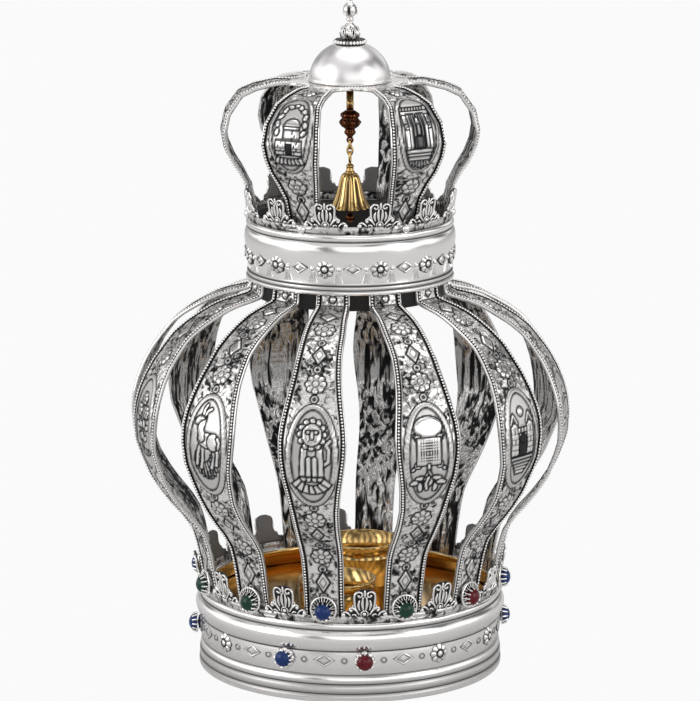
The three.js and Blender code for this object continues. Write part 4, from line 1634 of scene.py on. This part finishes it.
@dataclass(frozen=True)
class Cresting(SubAssembly):
    """A pierced strip of palmettes bent round the crown and leaning out a little."""

    name: str
    bottom: float
    band: float
    top: float
    radius: float
    lean: float
    turn: float
    reach: float
    count: int = 12
    wall: float = 1.2
    studs: tuple[float, ...] = ()

    def _at(self, x: Array, y: Array, out: Array) -> Array:
        """Places on the strip.

        Args:
            x, y: across the strip, and over its band.
            out: distance out from it.

        Returns:
            The points.
        """
        height = self.band + y
        radius = self.radius + (height - self.bottom) * self.lean
        return polar(np.degrees(x / (radius + self.wall)), radius + out, height)

    def _stroke(self, points: Sequence[tuple[float, float, float]]) -> Mesh:
        """A half-round stroke on the strip.

        Args:
            points: across, up and width, in millimetres.

        Returns:
            The stroke.
        """
        line = rounded(points, 0.9, 1.8)
        direction = np.gradient(line[:, :2], axis=0)
        direction /= np.linalg.norm(direction, axis=1)[:, None] + 1e-9
        side = np.stack([-direction[:, 1], direction[:, 0]], 1)
        rings = []
        for across, up in ((-1, -0.3), (-0.75, 0.7), (0, 1), (0.75, 0.7), (1, -0.3)):
            place = line[:, :2] + side * (across * line[:, 2:3] / 2)
            lift = self.wall + up * np.minimum(1, line[:, 2] / 1.4)
            rings.append(self._at(place[:, 0], place[:, 1], lift))
        return lofted("stroke", np.stack(rings, 1))

    def _button(self, x: float, y: float, radius: float, rise: float) -> Mesh:
        """A round button on the strip.

        Args:
            x, y: its middle.
            radius, rise: its size.

        Returns:
            The button.
        """
        rings = []
        for part in np.linspace(0, math.pi / 2, 5):
            angle = np.arange(12) / 12 * 2 * math.pi
            r = radius * math.cos(part)
            rings.append(self._at(x + r * np.cos(angle), y + r * np.sin(angle),
                                  np.full(12, self.wall - 0.2 + rise * math.sin(part))))
        return lofted("button", np.stack(rings))

    def _plate(self) -> Mesh:
        """The sheet behind a palmette's strokes, painted black as the shade seen through its piercings.

        Returns:
            The plate.
        """
        tall = self.top - self.band
        share = ((0.0, 1.0), (0.08, 0.98), (0.16, 0.84), (0.26, 0.66), (0.36, 0.52),
                 (0.5, 0.42), (0.62, 0.42), (0.75, 0.46), (0.86, 0.45), (0.94, 0.36), (1.0, 0.16))
        rows = []
        for up, wide in share:
            across = np.linspace(-wide, wide, 9) * self.reach
            y = np.full(9, up * tall)
            front = self._at(across, y, np.full(9, self.wall))
            back = self._at(across[::-1], y, np.zeros(9))
            rows.append(np.vstack([front, back]))
        rings = np.stack(rows)
        # Painted shade: the front is nearly black and the back a dark grey.
        black = np.full(rings.shape[:2], 0.9)
        black[:, 9:] = 0.6
        return lofted("plate", rings, {"tarnish_and_shade": black, "ground": 1 - black})

    def _palmette(self) -> list[Mesh]:
        """Scrolls, leaves and curls of one palmette.

        Returns:
            Its strokes and buttons.
        """
        k, h = self.reach / 14.0, (self.top - self.band) / 18.5
        parts = [self._button(0, 1.7 * h, 1.3 * k, 1.5)]
        circle = [(2.3 * math.cos(a), 1.7 + 2.3 * math.sin(a), 0.8)
                  for a in np.linspace(-0.6, math.pi + 0.6, 12)]
        parts.append(self._stroke([(x * k, y * h, w) for x, y, w in circle]))
        bud = [(0, 12.6, 0.8), (0, 15.4, 2.2), (0, 18.2, 0.9)]
        parts.append(self._stroke([(x * k, y * h, w) for x, y, w in bud]))
        for side in (-1, 1):
            scroll = [(5.0, 4.0, 1.0), (6.1, 8.0, 1.5), (6.5, 12.0, 1.6)]
            for i in range(15):
                angle = math.pi * (0.0 + i * 0.13)
                size = 3.0 - 0.14 * i
                scroll.append((3.4 + size * math.cos(angle), 14.6 + size * math.sin(angle),
                               1.5 - 0.04 * i))
            strokes = (
                scroll,
                [(0.8, 4.2, 1.0), (1.5, 8.6, 2.3), (1.1, 13.4, 0.8)],
                [(3.0, 4.2, 0.9), (4.0, 8.0, 2.0), (3.2, 11.4, 0.8)],
                [(3.2, 1.2, 1.0), (5.2, 4.6, 1.5), (8.0, 6.6, 1.5), (9.6, 5.2, 1.2), (8.6, 3.6, 0.9)],
                [(4.6, 0.2, 0.9), (6.4, 2.2, 1.3), (7.6, 1.0, 1.0)],
                [(8.4, 0.4, 0.9), (10.0, 2.6, 1.3), (12.2, 3.6, 1.4), (13.6, 2.2, 1.0)],
                [(5.4, 4.2, 0.8), (7.0, 5.0, 1.0), (7.2, 8.2, 0.7)],
            )
            for points in strokes:
                parts.append(self._stroke([(side * x * k, y * h, w) for x, y, w in points]))
            for x, y, radius in ((13.0, 0.9, 1.5), (8.3, 4.2, 1.1), (3.9, 14.2, 0.9)):
                parts.append(self._button(side * x * k, y * h, radius * k, 1.2))
        return parts

    def build(self) -> None:
        """Makes the strip and its palmettes."""
        inner = self.radius
        rise = self.band - self.bottom
        strip = Turning([(inner, self.bottom), (inner + self.wall, self.bottom),
                         (inner + self.wall + 0.4, self.bottom + rise * 0.5),
                         (inner + self.wall + rise * self.lean, self.band),
                         (inner + rise * self.lean, self.band)], 144, ring=True)
        band = strip.mesh("strip", ground=lambda height: np.ones_like(height),
                          shade=lambda angle, height: np.full_like(angle, 0.15))
        plates = self.shop.copies(self._plate(), self.count, self.turn)
        self.shop.piece(f"{self.name}_strip", [band, plates], Look.CHASED, self.name)
        leaves = self.shop.copies(merged("palmette", self._palmette()), self.count, self.turn)
        self.shop.piece(f"{self.name}_palmettes", leaves, Look.POLISHED)
        if self.studs:
            height = (self.bottom + self.band) / 2
            balls = [stood_out(StoneSetting.stone(2.7, 3.0), turn, self.radius + self.wall, height)
                     for turn in self.studs]
            self.shop.piece(f"{self.name}_studs", balls, Look.POLISHED)


def flower(radius: float, petals: int, rise: float) -> Mesh:
    """A rosette of round petals about Z, its back on z 0.

    Args:
        radius: its size.
        petals: how many petals.
        rise: how high they stand.

    Returns:
        The rosette.
    """
    rings = 10
    sides = 48
    angle = np.arange(sides) / sides * 2 * math.pi
    lobes = np.abs(np.cos(angle * petals / 2))
    rows, blacks = [], []
    for i in range(rings):
        part = 1 - i / (rings - 1)
        edge = radius * (0.84 + 0.16 * lobes)
        r = edge * part
        crease = np.where(lobes < 0.35, 1.0, 0.0) * (0.4 < part < 0.98)
        button = 0.9 if part < 0.3 else 0.0
        lift = rise * (0.25 + 0.6 * math.sin(math.pi * min(part * 1.15, 1)) * lobes ** 0.4)
        z = np.where(part < 0.32, rise * (0.75 + 0.5 * (1 - part / 0.32)), lift)
        z = np.where(part > 0.98, 0.0, z)
        rows.append(np.stack([r * np.cos(angle), r * np.sin(angle), z], 1))
        black = np.maximum(crease * 0.85, float(0.3 < part < 0.45) * 0.95)
        blacks.append(np.maximum(black, 0.6 * (part > 0.98)) * (1 - button))
    base = np.stack([rows[0][:, 0], rows[0][:, 1], np.full(sides, -1.0)], 1)
    points = np.stack([base, *rows])
    marks = np.stack([np.ones(sides), *blacks])
    return lofted("flower", points, {"tarnish_and_shade": marks, "ground": np.zeros_like(marks)})


def lozenge(half: float, tall: float, rise: float) -> Mesh:
    """A raised diamond frame with a low pyramid in it, its back on z 0.

    Args:
        half, tall: half its width and height.
        rise: how high it stands.

    Returns:
        The diamond.
    """
    corners = np.array([(half, 0), (0, tall), (-half, 0), (0, -tall)], float)
    rows, blacks = [], []
    for share, z, black in ((1.12, -0.8, 1), (1.12, 0.05, 1), (1.0, rise, 0), (0.8, rise, 0),
                            (0.72, 0.1, 0.9), (0.62, 0.2, 0.3), (0.05, rise * 1.1, 0)):
        rows.append(np.column_stack([corners * share, np.full(4, z)]))
        blacks.append(np.full(4, float(black)))
    marks = np.stack(blacks)
    mesh = lofted("lozenge", np.stack(rows), {"tarnish_and_shade": marks, "ground": marks * 0})
    mesh.polygons.foreach_set("use_smooth", [False] * len(mesh.polygons))
    return mesh


def eyelet(radius: float, wire: float) -> Mesh:
    """A small ring with a button in it, about Z."""
    profile = [(0, -0.6), (radius, -0.6), (radius, 0.1), (radius - wire * 0.3, wire * 0.6),
               (radius - wire, 0.1), (radius * 0.3, 0.15), (0, 0.25)]
    return Turning(profile, 20).mesh("eyelet", shade=lambda a, h: (h < 0.12) * 0.85)


@dataclass(frozen=True)
class BaseRing(SubAssembly):
    """The moulded base ring with its band of rosettes, diamonds and stones."""

    band_height: float = 27.0
    band_radius: float = 97.0
    count: int = 12
    rosette: tuple[float, int, float] = (6.6, 8, 1.9)
    diamond: tuple[float, float, float] = (6.4, 4.0, 0.6)
    eyelet: Pair = (2.4, 0.8)
    eyelet_turn: float = 7.6
    claws: int = 12
    stone_face: float = 100.0
    stone_radius: float = 5.3
    stone_rise: float = 5.2
    stones: tuple[tuple[int, Look], ...] = (
        (0, Look.RED), (3, Look.BLUE), (5, Look.RED), (6, Look.GREEN), (9, Look.BLUE),
        (11, Look.BLUE),
    )

    def build(self) -> None:
        """Makes the ring, its gilt lining, its ornaments and its stones."""
        profile = [
            (96, 0), (97.8, 0), (98.2, 0.6), (98.35, 2.6), (98.1, 4.9), (97.6, 5.3), (97.95, 5.8),
            (98.0, 8.4), (97.8, 11), (97.2, 11.4), (97.5, 12), (97.3, 14), (96.9, 16),
            (96.2, 16.6), (96.2, 17.4), (96.8, 18), (97.0, 24), (97.5, 32.2), (97.2, 33),
            (97.9, 33.8), (99.4, 36.6), (100.2, 39.6), (100.3, 41.6), (99.6, 44), (98.2, 45.8),
            (97.1, 46.6), (97.4, 47.3), (97.9, 48.2), (98.0, 49.4), (97.4, 50.6), (96.4, 51.4),
            (92.5, 51.4), (94.6, 46), (94.4, 40), (94.3, 33), (94.4, 17), (95.6, 3),
        ]
        ring = Turning(profile, 240, True, grooves=(5.3, 11.4, 17.0, 33.0, 46.7),
                       groove_width=0.5, inside=96.1)
        self.shop.piece("base_ring_turned", ring.mesh("base"), Look.POLISHED, "base_ring",
                        lining=Look.GILT)
        step = 360 / self.count
        face = self.band_radius
        rosette = stood_out(flower(*self.rosette), 0, face + 0.4, self.band_height)
        diamond = stood_out(lozenge(*self.diamond), 0, face + 0.2, self.band_height)
        eyelets = [stood_out(eyelet(*self.eyelet), turn, face + 0.2, self.band_height)
                   for turn in (self.eyelet_turn, -self.eyelet_turn)]
        bay = merged("bay", [diamond, *eyelets])
        for name, mesh, turn in (("rosettes", rosette, step / 2), ("diamonds", bay, 0.0)):
            self.shop.piece(f"base_{name}", self.shop.copies(mesh, self.count, turn), Look.POLISHED)
        setting = StoneSetting(self.shop)
        claws = []
        for number, (bay, colour) in enumerate(self.stones, 1):
            degrees = (bay + 0.5) * step
            stone = stood_out(setting.stone(self.stone_radius, self.stone_rise), degrees,
                              self.stone_face, self.band_height)
            self.shop.piece(f"band_cabochon_{number}", stone, colour, f"band_stone_{number}")
            claw = setting.claws(self.stone_radius, self.stone_rise, self.claws)
            claws.append(stood_out(claw, degrees, self.stone_face - 0.4, self.band_height))
        self.shop.piece("band_claws", claws, Look.POLISHED)


@dataclass(frozen=True)
class NeckRing(SubAssembly):
    """The waist: a skirt for the collars, a band of rosettes and a plain bulge."""

    height: float = 271.5
    radius: float = 66.6
    turn: float = 26.1
    count: int = 12
    rosette: tuple[float, int, float] = (6.1, 8, 1.9)
    diamond: tuple[float, float, float] = (5.4, 3.6, 1.5)
    diamond_turn: float = 15.0
    dot: Pair = (1.6, 1.8)
    dot_turn: float = 7.4
    fold_turn: float = 7.2

    def build(self) -> None:
        """Makes the ring and its band of ornaments."""
        profile = [
            (59.8, 244), (61, 244), (61, 254.7), (66, 254.7), (66.5, 255.3), (66.6, 256.4),
            (66.1, 257.4), (65.5, 257.8), (65.9, 258.4), (65.9, 259.8), (65.3, 260.4),
            (65, 262), (65.1, 266), (65.6, 270), (66.4, 274), (67, 277), (67.5, 281),
            (67.2, 285), (66.2, 287.6), (65.2, 288.4), (65.9, 289), (66.4, 290), (66.3, 291.6),
            (65.6, 293), (62.8, 293), (62.8, 286), (64, 280), (63.6, 272), (60.4, 260),
        ]
        # Painted shade: the inside of the neck ring is blackened.
        ring = Turning(profile, 200, True, grooves=(257.8, 260.4, 288.4), groove_width=0.45,
                       inside=64.4, inside_painted_shade=0.8)
        self.shop.piece("neck_ring_turned", ring.mesh("neck"), Look.POLISHED, "neck_ring",
                        lining=Look.CHASED)
        face = self.radius - 0.2
        rosette = stood_out(flower(*self.rosette), 0, face, self.height)
        diamond = stood_out(lozenge(*self.diamond), self.diamond_turn, face - 0.5, self.height)
        dots = [stood_out(StoneSetting.stone(*self.dot), turn, face - 0.9, self.height)
                for turn in (-self.dot_turn, self.dot_turn)]
        drapes = [self._drape(turn) for turn in (-self.fold_turn, self.fold_turn)]
        bay = merged("bay", [diamond, *dots, *drapes])
        for name, mesh in (("rosettes", rosette), ("diamonds", bay)):
            self.shop.piece(f"neck_{name}", self.shop.copies(mesh, self.count, self.turn),
                            Look.POLISHED)

    def _drape(self, degrees: float) -> Mesh:
        """A small gathered fold that hangs under a dot.

        Args:
            degrees: its angle.

        Returns:
            The fold.
        """
        lines = []
        for part in (-1, -0.35, 0.35, 1):
            turn = np.array([0.25, 0.6, 1.0]) * part * 2.4 + degrees
            lines.append(polar(turn, np.array([65.7, 65.4, 65.3]),
                               np.array([269.6, 266.2, 262.4])))
        return self.shop.wire(lines, 0.42, 1.2, 5)


@dataclass(frozen=True)
class DomeAndFinial(SubAssembly):
    """The plain dome, the beaded washer on it, and the leafy finial."""

    dome_radius: float = 25.8
    dome_bottom: float = 382.0
    dome_rise: float = 23.9
    washer_bottom: float = 404.2
    washer_radius: float = 10.7
    washer_thick: float = 3.0
    tip: float = 433.0

    def build(self) -> None:
        """Makes the three pieces."""
        top = self.washer_bottom - 0.3
        end = math.asin((top - self.dome_bottom) / self.dome_rise)
        arc = [(self.dome_radius * math.cos(a), self.dome_bottom + self.dome_rise * math.sin(a))
               for a in np.linspace(0, end, 26)]
        dome = Turning([(0, self.dome_bottom - 1.0), (self.dome_radius + 0.5, self.dome_bottom - 1.0),
                        (self.dome_radius + 0.6, self.dome_bottom - 0.4), *arc, (0, top)], 128)
        self.shop.piece("dome_shell", dome.mesh("dome"), Look.SATIN, "dome")
        self._washer()
        self._finial()

    def _washer(self) -> None:
        """A disc with a row of beads round its rim."""
        low, high = self.washer_bottom, self.washer_bottom + self.washer_thick
        flat = self.washer_radius - 1.2
        disc = Turning([(0, low), (flat, low), (flat + 0.3, low + 0.6), (flat, low + 1.5),
                        (flat + 0.3, high - 0.6), (flat - 0.2, high), (6.4, high - 0.4),
                        (0, high - 0.4)], 64)
        circle = polar(np.arange(64) / 64 * 360, self.washer_radius - 1.0, low + 1.5)
        beads = self.shop.beads([np.vstack([circle, circle[:1]])], 2.15, 1.15, 8, 6)
        body = disc.mesh("washer", shade=lambda a, h: np.full_like(a, 0.8))
        self.shop.piece("washer_beaded", [body, beads], Look.CHASED, "beaded_washer")

    def _finial(self) -> None:
        """Two leafy bulbs on a stem."""
        foot = self.washer_bottom + self.washer_thick + 0.3
        profile = [(0, foot), (5.2, foot), (6.2, foot + 1.2), (6.6, foot + 3), (6.0, foot + 5),
                   (4.7, foot + 7), (3.1, foot + 8.6), (2.0, foot + 10), (1.7, foot + 11),
                   (2.5, foot + 11.8), (2.5, foot + 12.6), (1.8, foot + 13.2), (2.8, foot + 14.6),
                   (4.2, foot + 16.2), (4.7, foot + 18), (4.3, foot + 20), (3.0, foot + 21.8),
                   (1.9, foot + 22.8), (1.7, foot + 23.8), (1.0, foot + 25), (0, self.tip)]

        def leaf(angle: Array, height: Array) -> Array:
            """Share of the radius kept between the leaves of both bulbs.

            Args:
                angle: angle in radians.
                height: height in millimetres.

            Returns:
                The share.
            """
            tall = height - foot
            lower = smooth_step(1.4 - np.abs(tall - 4) / 4)
            upper = smooth_step(1.3 - np.abs(tall - 18) / 3.4)
            a = np.abs(np.sin(angle * 3 + 0.3 * tall))
            b = np.abs(np.sin(angle * 2.5))
            return 1 - 0.3 * lower * (1 - a) ** 1.5 - 0.3 * upper * (1 - b) ** 1.5

        def dark(angle: Array, height: Array) -> Array:
            """How black the creases between the leaves are."""
            return np.clip((1 - leaf(angle, height)) * 5, 0, 1)

        body = Turning(profile, 96, step=0.5, window=0.8).mesh("finial", leaf, dark)
        rims = []
        for index in range(6):
            turn = index * 60 + 30
            rims.append(self._leaf_rim(foot + 4.2, 6.4, 2.1, 3.6, turn, 0.25))
            rims.append(self._leaf_rim(foot + 4.2, 6.5, 1.0, 2.2, turn, 0.3))
        for index in range(5):
            rims.append(self._leaf_rim(foot + 18, 4.5, 1.5, 2.5, index * 72 + 36, 0.0))
        leaves = self.shop.wire(rims, 0.36, 0.7, closed=True)
        self.shop.piece("finial_leaves", [body, leaves], Look.CHASED, "leafy_finial")

    @staticmethod
    def _leaf_rim(height: float, radius: float, wide: float, tall: float, degrees: float,
                  taper: float) -> Array:
        """The rim of one pointed leaf on a bulb.

        Args:
            height, radius, degrees: the leaf's middle.
            wide, tall: half its width and height.
            taper: how fast its tip leans in.

        Returns:
            The rim.
        """
        angle = np.linspace(0, 2 * math.pi, 20, endpoint=False)
        across = wide * np.sin(angle)
        up = -tall * np.cos(angle)
        r = radius - taper * np.maximum(up, 0) - 0.06 * up ** 2
        return polar(degrees + np.degrees(across / radius), r, height + up)


@dataclass(frozen=True)
class BellAndRod(SubAssembly):
    """The gilt rod, its nut and knop, two links, and the fluted bell with its clapper."""

    plate: float = 378.9
    nut_radius: float = 9.0
    rod_radius: float = 2.3
    rod_foot: float = 362.0
    bell_top: float = 322.0
    bell_mouth: float = 299.0
    flutes: int = 8
    wire: float = 0.75
    link: Pair = (7.2, 4.7)
    links: tuple[tuple[str, float, float], ...] = (("upper", 343.4, 90), ("lower", 339.5, 0))

    def build(self) -> None:
        """Makes every gilt piece that hangs from the plate."""
        nut = Turning([(0, 374.5), (4.0, 374.5), (5.2, 375.3), (5.4, 376.4), (8.4, 377.2),
                       (self.nut_radius, 378), (self.nut_radius, self.plate), (0, self.plate)], 64)
        self.shop.piece("nut_round", nut.mesh("nut", shade=lambda a, h: np.full_like(a, 0.35)),
                        Look.DARK_GILT, "rod_nut")
        radius = self.rod_radius
        rod = Turning([(0, self.rod_foot), (radius, self.rod_foot), (radius, 366), (radius + 0.25, 366.4),
                       (radius, 366.8), (radius, 374.2), (0, 374.2)], 40)
        self.shop.piece("rod_round", rod.mesh("rod"), Look.GILT, "bell_rod")
        self._knop()
        for name, top, turn in self.links:
            link = self.shop.wire([self._loop(top, *self.link, turn)], self.wire, 0.6, 8, True)
            self.shop.piece(f"link_{name}", link, Look.GILT, f"chain_link_{name}")
        self._bell()

    def _loop(self, top: float, height: float, width: float, turn: float) -> Array:
        """The middle line of an oval link.

        Args:
            top: height of its top.
            height, width: its size over the wire.
            turn: its angle in degrees.

        Returns:
            The line.
        """
        angle = np.linspace(0, 2 * math.pi, 28, endpoint=False)
        across = (width / 2 - self.wire) * np.cos(angle)
        z = top - height / 2 + (height / 2 - self.wire) * np.sin(angle)
        c, s = math.cos(math.radians(turn)), math.sin(math.radians(turn))
        return np.stack([across * c, across * s, z], 1)

    def _knop(self) -> None:
        """A dark lobed knop with an eye under it."""
        profile = [(0, 344.2), (1.4, 344.2), (2.2, 345.4), (3.6, 346.8), (3.7, 348), (3, 349),
                   (3.2, 349.8), (5.4, 351.2), (6.7, 353), (6.6, 355), (5.4, 356.4), (5.2, 357),
                   (6.3, 358), (6, 359.6), (3.8, 361), (2.8, 361.7), (0, 361.7)]

        def lobes(angle: Array, height: Array) -> Array:
            """Share of the radius kept between the knop's lobes."""
            belly = smooth_step(1.3 - np.abs(height - 354.5) / 5)
            return 1 - 0.2 * belly * (1 - np.abs(np.sin(angle * 3))) ** 1.3

        knop = Turning(profile, 72, step=0.5, window=0.8)
        body = knop.mesh("knop", lobes, lambda a, h: np.clip((1 - lobes(a, h)) * 5, 0, 1))
        beads = polar(np.arange(36) / 36 * 360, 6.1, 354.0)
        row = self.shop.beads([np.vstack([beads, beads[:1]])], 3.19, 1.15, 8, 6)
        eye = self.shop.wire([self._loop(345, 4.8, 4.8, 0)], self.wire, 0.6, 8, True)
        self.shop.piece("knop_lobed", [body, row, eye], Look.DARK_GILT, "rod_knop")

    def _bell(self) -> None:
        """A fluted bell with a waved lip, its cap and bail, and its clapper."""
        top, mouth = self.bell_top, self.bell_mouth
        profile = [(0, top), (2.2, top - 0.1), (4.6, top - 1), (6, top - 3), (7, 315.6),
                   (7.9, 312), (8.9, 308), (10.3, 304), (12, 300.8), (13.6, 298.9), (13, 298.7),
                   (11.4, 300.6), (9.7, 304), (8.3, 308), (7.2, 312), (6.2, 315.6), (4.4, 318),
                   (0, 318.8)]

        def flute(angle: Array, height: Array) -> Array:
            """Share of the radius kept between the bell's flutes."""
            depth = 0.13 * smooth_step((top - 1 - height) / 6)
            return 1 - depth * (1 - np.abs(np.sin(angle * self.flutes / 2))) ** 1.6

        bell = Turning(profile, self.flutes * 12, step=0.9, window=1.0)
        # Painted shade: broad dark bands in the hollows between the flutes.
        skirt = bell.mesh("bell", flute, lambda a, h: np.clip((1 - flute(a, h)) * 9 - 0.15, 0, 1))
        cap = Turning([(0, 320.5), (3.2, 321), (3.4, 322), (2.4, 322.8), (2.2, 325), (2.7, 325.8),
                       (1.6, 327.2), (0, 327.8)], 32, step=0.4, window=0.5).mesh("cap")
        bail = self.shop.wire([self._loop(335.6, 8.6, 4.6, 90)], self.wire, 0.6, 8, True)
        self.shop.piece("bell_fluted", [skirt, cap, bail], Look.GILT, "bell")
        clapper = Turning([(0, 289.2), (1.6, 289.6), (2.8, 291), (3, 292.4), (2.2, 294.2),
                           (0.9, 295.4), (0.8, 318.2), (0, 318.2)], 28, step=0.6, window=0.8)
        self.shop.piece("clapper_round", clapper.mesh("clapper"), Look.DARK_GILT, "bell_clapper")


@dataclass(frozen=True)
class GiltFloor(SubAssembly):
    """The gilt plate in the base ring, and the two sleeves for the rollers."""

    sleeve_radius: float = 24.0
    wall: float = 1.0
    bottom: float = 40.5
    top: float = 68.0
    offset: float = 48.0

    def build(self) -> None:
        """Finishes the plate and makes both sleeves."""
        plate = frame["nodes"]["gilt_floor"]
        plate.data.materials.clear()
        plate.data.materials.append(self.shop.finishes[Look.GILT])
        r, inner, top = self.sleeve_radius, self.sleeve_radius - self.wall, self.top
        profile = [(inner, self.bottom), (r, self.bottom), (r, top - 9.6), (r + 0.35, top - 9.2),
                   (r, top - 8.8), (r, top - 2.4), (r + 0.6, top - 2), (r + 0.9, top - 1.2),
                   (r + 0.6, top - 0.4), (r - 0.2, top), (inner, top - 0.2)]
        for name, side in (("front", -1), ("rear", 1)):
            sleeve = Turning(profile, 120, True).mesh("sleeve")
            for vertex in sleeve.vertices:
                vertex.co.y += side * self.offset * MM
            self.shop.piece(f"sleeve_{name}", sleeve, Look.GILT, f"roller_sleeve_{name}")


@dataclass(frozen=True)
class Studio:
    """Pale floor, soft lights, and the camera at the photograph's viewing angle."""

    distance: float = 2471.0
    height: float = 747.0
    azimuth: float = 9.7
    pitch: float = 12.36
    focal_pixels: float = 3934.0
    long_side: int = 701
    sensor: float = 36.0
    clip: Pair = (0.05, 100.0)
    floor_size: float = 40000.0
    floor_height: float = -0.2
    floor_shade: float = 0.65
    floor_white: float = 0.955
    light: float = 1.4
    heights: tuple[Pair, ...] = ((0.0, 0.3), (0.4, 0.5), (0.5, 0.85), (0.58, 1.0), (0.7, 0.85),
                                 (0.82, 0.4), (1.0, 0.7))
    patches: tuple[Pair, ...] = ((0.34, 0.15), (0.46, 1.0))
    patch_scale: float = 2.4
    rear: tuple[Pair, ...] = ((0.3, 1.0), (0.85, 0.3))

    def build(self) -> None:
        """Sets the whole studio."""
        bpy.context.scene.view_settings.view_transform = "Standard"
        bpy.context.scene.view_settings.look = "None"
        self._camera()
        self._floor()
        self._world()
        self._lights()

    def _camera(self) -> None:
        """A long lens on the crown's axis, looking down a little."""
        data = bpy.data.cameras.new("camera")
        data.sensor_width = self.sensor
        data.lens = self.sensor * self.focal_pixels / self.long_side
        data.clip_start, data.clip_end = self.clip
        camera = bpy.data.objects.new("camera", data)
        bpy.context.scene.collection.objects.link(camera)
        turn = math.radians(self.azimuth)
        camera.location = Vector((math.sin(turn), -math.cos(turn), 0)) * self.distance * MM
        camera.location.z = self.height * MM
        camera.rotation_euler = (math.radians(90 - self.pitch), 0, turn)
        bpy.context.scene.camera = camera

    def _floor(self) -> None:
        """A wide pale floor that fills the view behind the crown."""
        half = self.floor_size / 2
        corners = np.array([(x * half, y * half, self.floor_height)
                            for x, y in ((-1, -1), (1, -1), (1, 1), (-1, 1))])
        mesh = bpy.data.meshes.new("studio_floor")
        mesh.from_pydata((corners * MM).tolist(), [], [(0, 1, 2, 3)])
        made = bpy.data.materials.new("studio_floor")
        made.use_nodes = True
        shader, end = made.node_tree.nodes["Principled BSDF"], made.node_tree.nodes["Material Output"]
        feed(shader, {"Base Color": (*[self.floor_shade] * 3, 1), "Roughness": 0.9,
                      "Specular IOR Level": 0.0})
        white = add_node(made.node_tree, "ShaderNodeEmission", {0: (*[self.floor_white] * 3, 1)})
        seen = add_node(made.node_tree, "ShaderNodeLightPath").outputs["Is Camera Ray"]
        mix = add_node(made.node_tree, "ShaderNodeMixShader", {
            0: seen, 1: shader.outputs[0], 2: white.outputs[0]})
        feed(end, {"Surface": mix.outputs[0]})
        mesh.materials.append(made)
        floor = bpy.data.objects.new("studio_floor", mesh)
        bpy.context.scene.collection.objects.link(floor)

    def _world(self) -> None:
        """White at the crown's height, greyer above, below and behind it, and in soft patches."""
        world = bpy.data.worlds.new("studio")
        world.use_nodes = True
        bpy.context.scene.world = world
        tree = world.node_tree
        place = add_node(tree, "ShaderNodeTexCoord").outputs["Generated"]
        parts = add_node(tree, "ShaderNodeSeparateXYZ", {0: place}).outputs
        half = add_node(tree, "ShaderNodeMath", {0: parts["Z"], 1: 0.5, 2: 0.5},
                        operation="MULTIPLY_ADD").outputs[0]
        noise = add_node(tree, "ShaderNodeTexNoise", {
            "Vector": place, "Scale": self.patch_scale, "Detail": 0.0}).outputs["Fac"]
        shade = self._ramp(tree, half, self.heights)
        for value, stops in ((noise, self.patches), (parts["Y"], self.rear)):
            mix = add_node(tree, "ShaderNodeMix", data_type="RGBA", blend_type="MULTIPLY")
            feed(mix, {0: 1.0, 6: shade, 7: self._ramp(tree, value, stops)})
            shade = mix.outputs[2]
        feed(tree.nodes["Background"], {"Color": shade, "Strength": self.light})

    @staticmethod
    def _ramp(tree: NodeTree, value: NodeSocket, stops: Sequence[Pair]) -> NodeSocket:
        """A ramp of greys.

        Args:
            tree: the world's tree.
            value: what the ramp reads.
            stops: places and the grey at each.

        Returns:
            The grey.
        """
        ramp = add_node(tree, "ShaderNodeValToRGB", {"Fac": value})
        elements = ramp.color_ramp.elements
        while len(elements) < len(stops):
            elements.new(0.5)
        for element, (position, grey) in zip(elements, stops):
            element.position = position
            element.color = (grey, grey, grey, 1)
        return ramp.outputs["Color"]

    def _lights(self) -> None:
        """Two tall soft boxes at the sides, and wide ones overhead and behind."""
        for name, size, power, place, aim in (
            ("left_box", (1.0, 2.0), 12, (-2.0, -1.4, 1.1), (0, 0, 0.2)),
            ("right_box", (0.8, 2.0), 9, (2.3, -0.9, 1.1), (0, 0, 0.2)),
            ("top_box", (2.0, 2.0), 14, (0.2, 0.3, 2.4), (0, 0, 0)),
            ("rear_box", (2.4, 1.2), 5, (0.4, 2.4, 1.2), (0, 0, 0.2)),
        ):
            data = bpy.data.lights.new(name, "AREA")
            data.shape = "RECTANGLE"
            data.size, data.size_y = size
            data.energy = power
            light = bpy.data.objects.new(name, data)
            light.location = place
            direction = Vector(aim) - Vector(place)
            light.rotation_euler = direction.to_track_quat("-Z", "Y").to_euler()
            bpy.context.scene.collection.objects.link(light)


def make_finishes() -> dict[Look, Material]:
    """Builds every material once.

    Returns:
        The materials.
    """
    patina_and_shade = PatinaAndShadeGroup().tree
    finishes = {finish.look: finish.material(patina_and_shade) for finish in METALS}
    finishes.update({finish.look: finish.material() for finish in STONES})
    return finishes


def main() -> None:
    """Builds the studio and dresses the crown, from the base up."""
    logging.basicConfig(level=logging.INFO, format="%(message)s")
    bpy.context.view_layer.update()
    Studio().build()
    shop = Workshop(make_finishes(), ShapeTrees())
    parts = (
        BaseRing(shop), GiltFloor(shop), LowerTier(shop),
        Cresting(shop, "lower_cresting", bottom=51.7, band=56.0, top=74.5, radius=95.6, lean=0.2,
                 turn=15.0, reach=14.3),
        NeckRing(shop), UpperTier(shop),
        Cresting(shop, "upper_cresting", bottom=293.3, band=298.0, top=314.0, radius=63.4, lean=0.17,
                 turn=26.1, reach=13.8, studs=tuple(range(42, 402, 60))),
        DomeAndFinial(shop), BellAndRod(shop),
    )
    for part in parts:
        part.build()


if __name__ == "__main__":
    main()
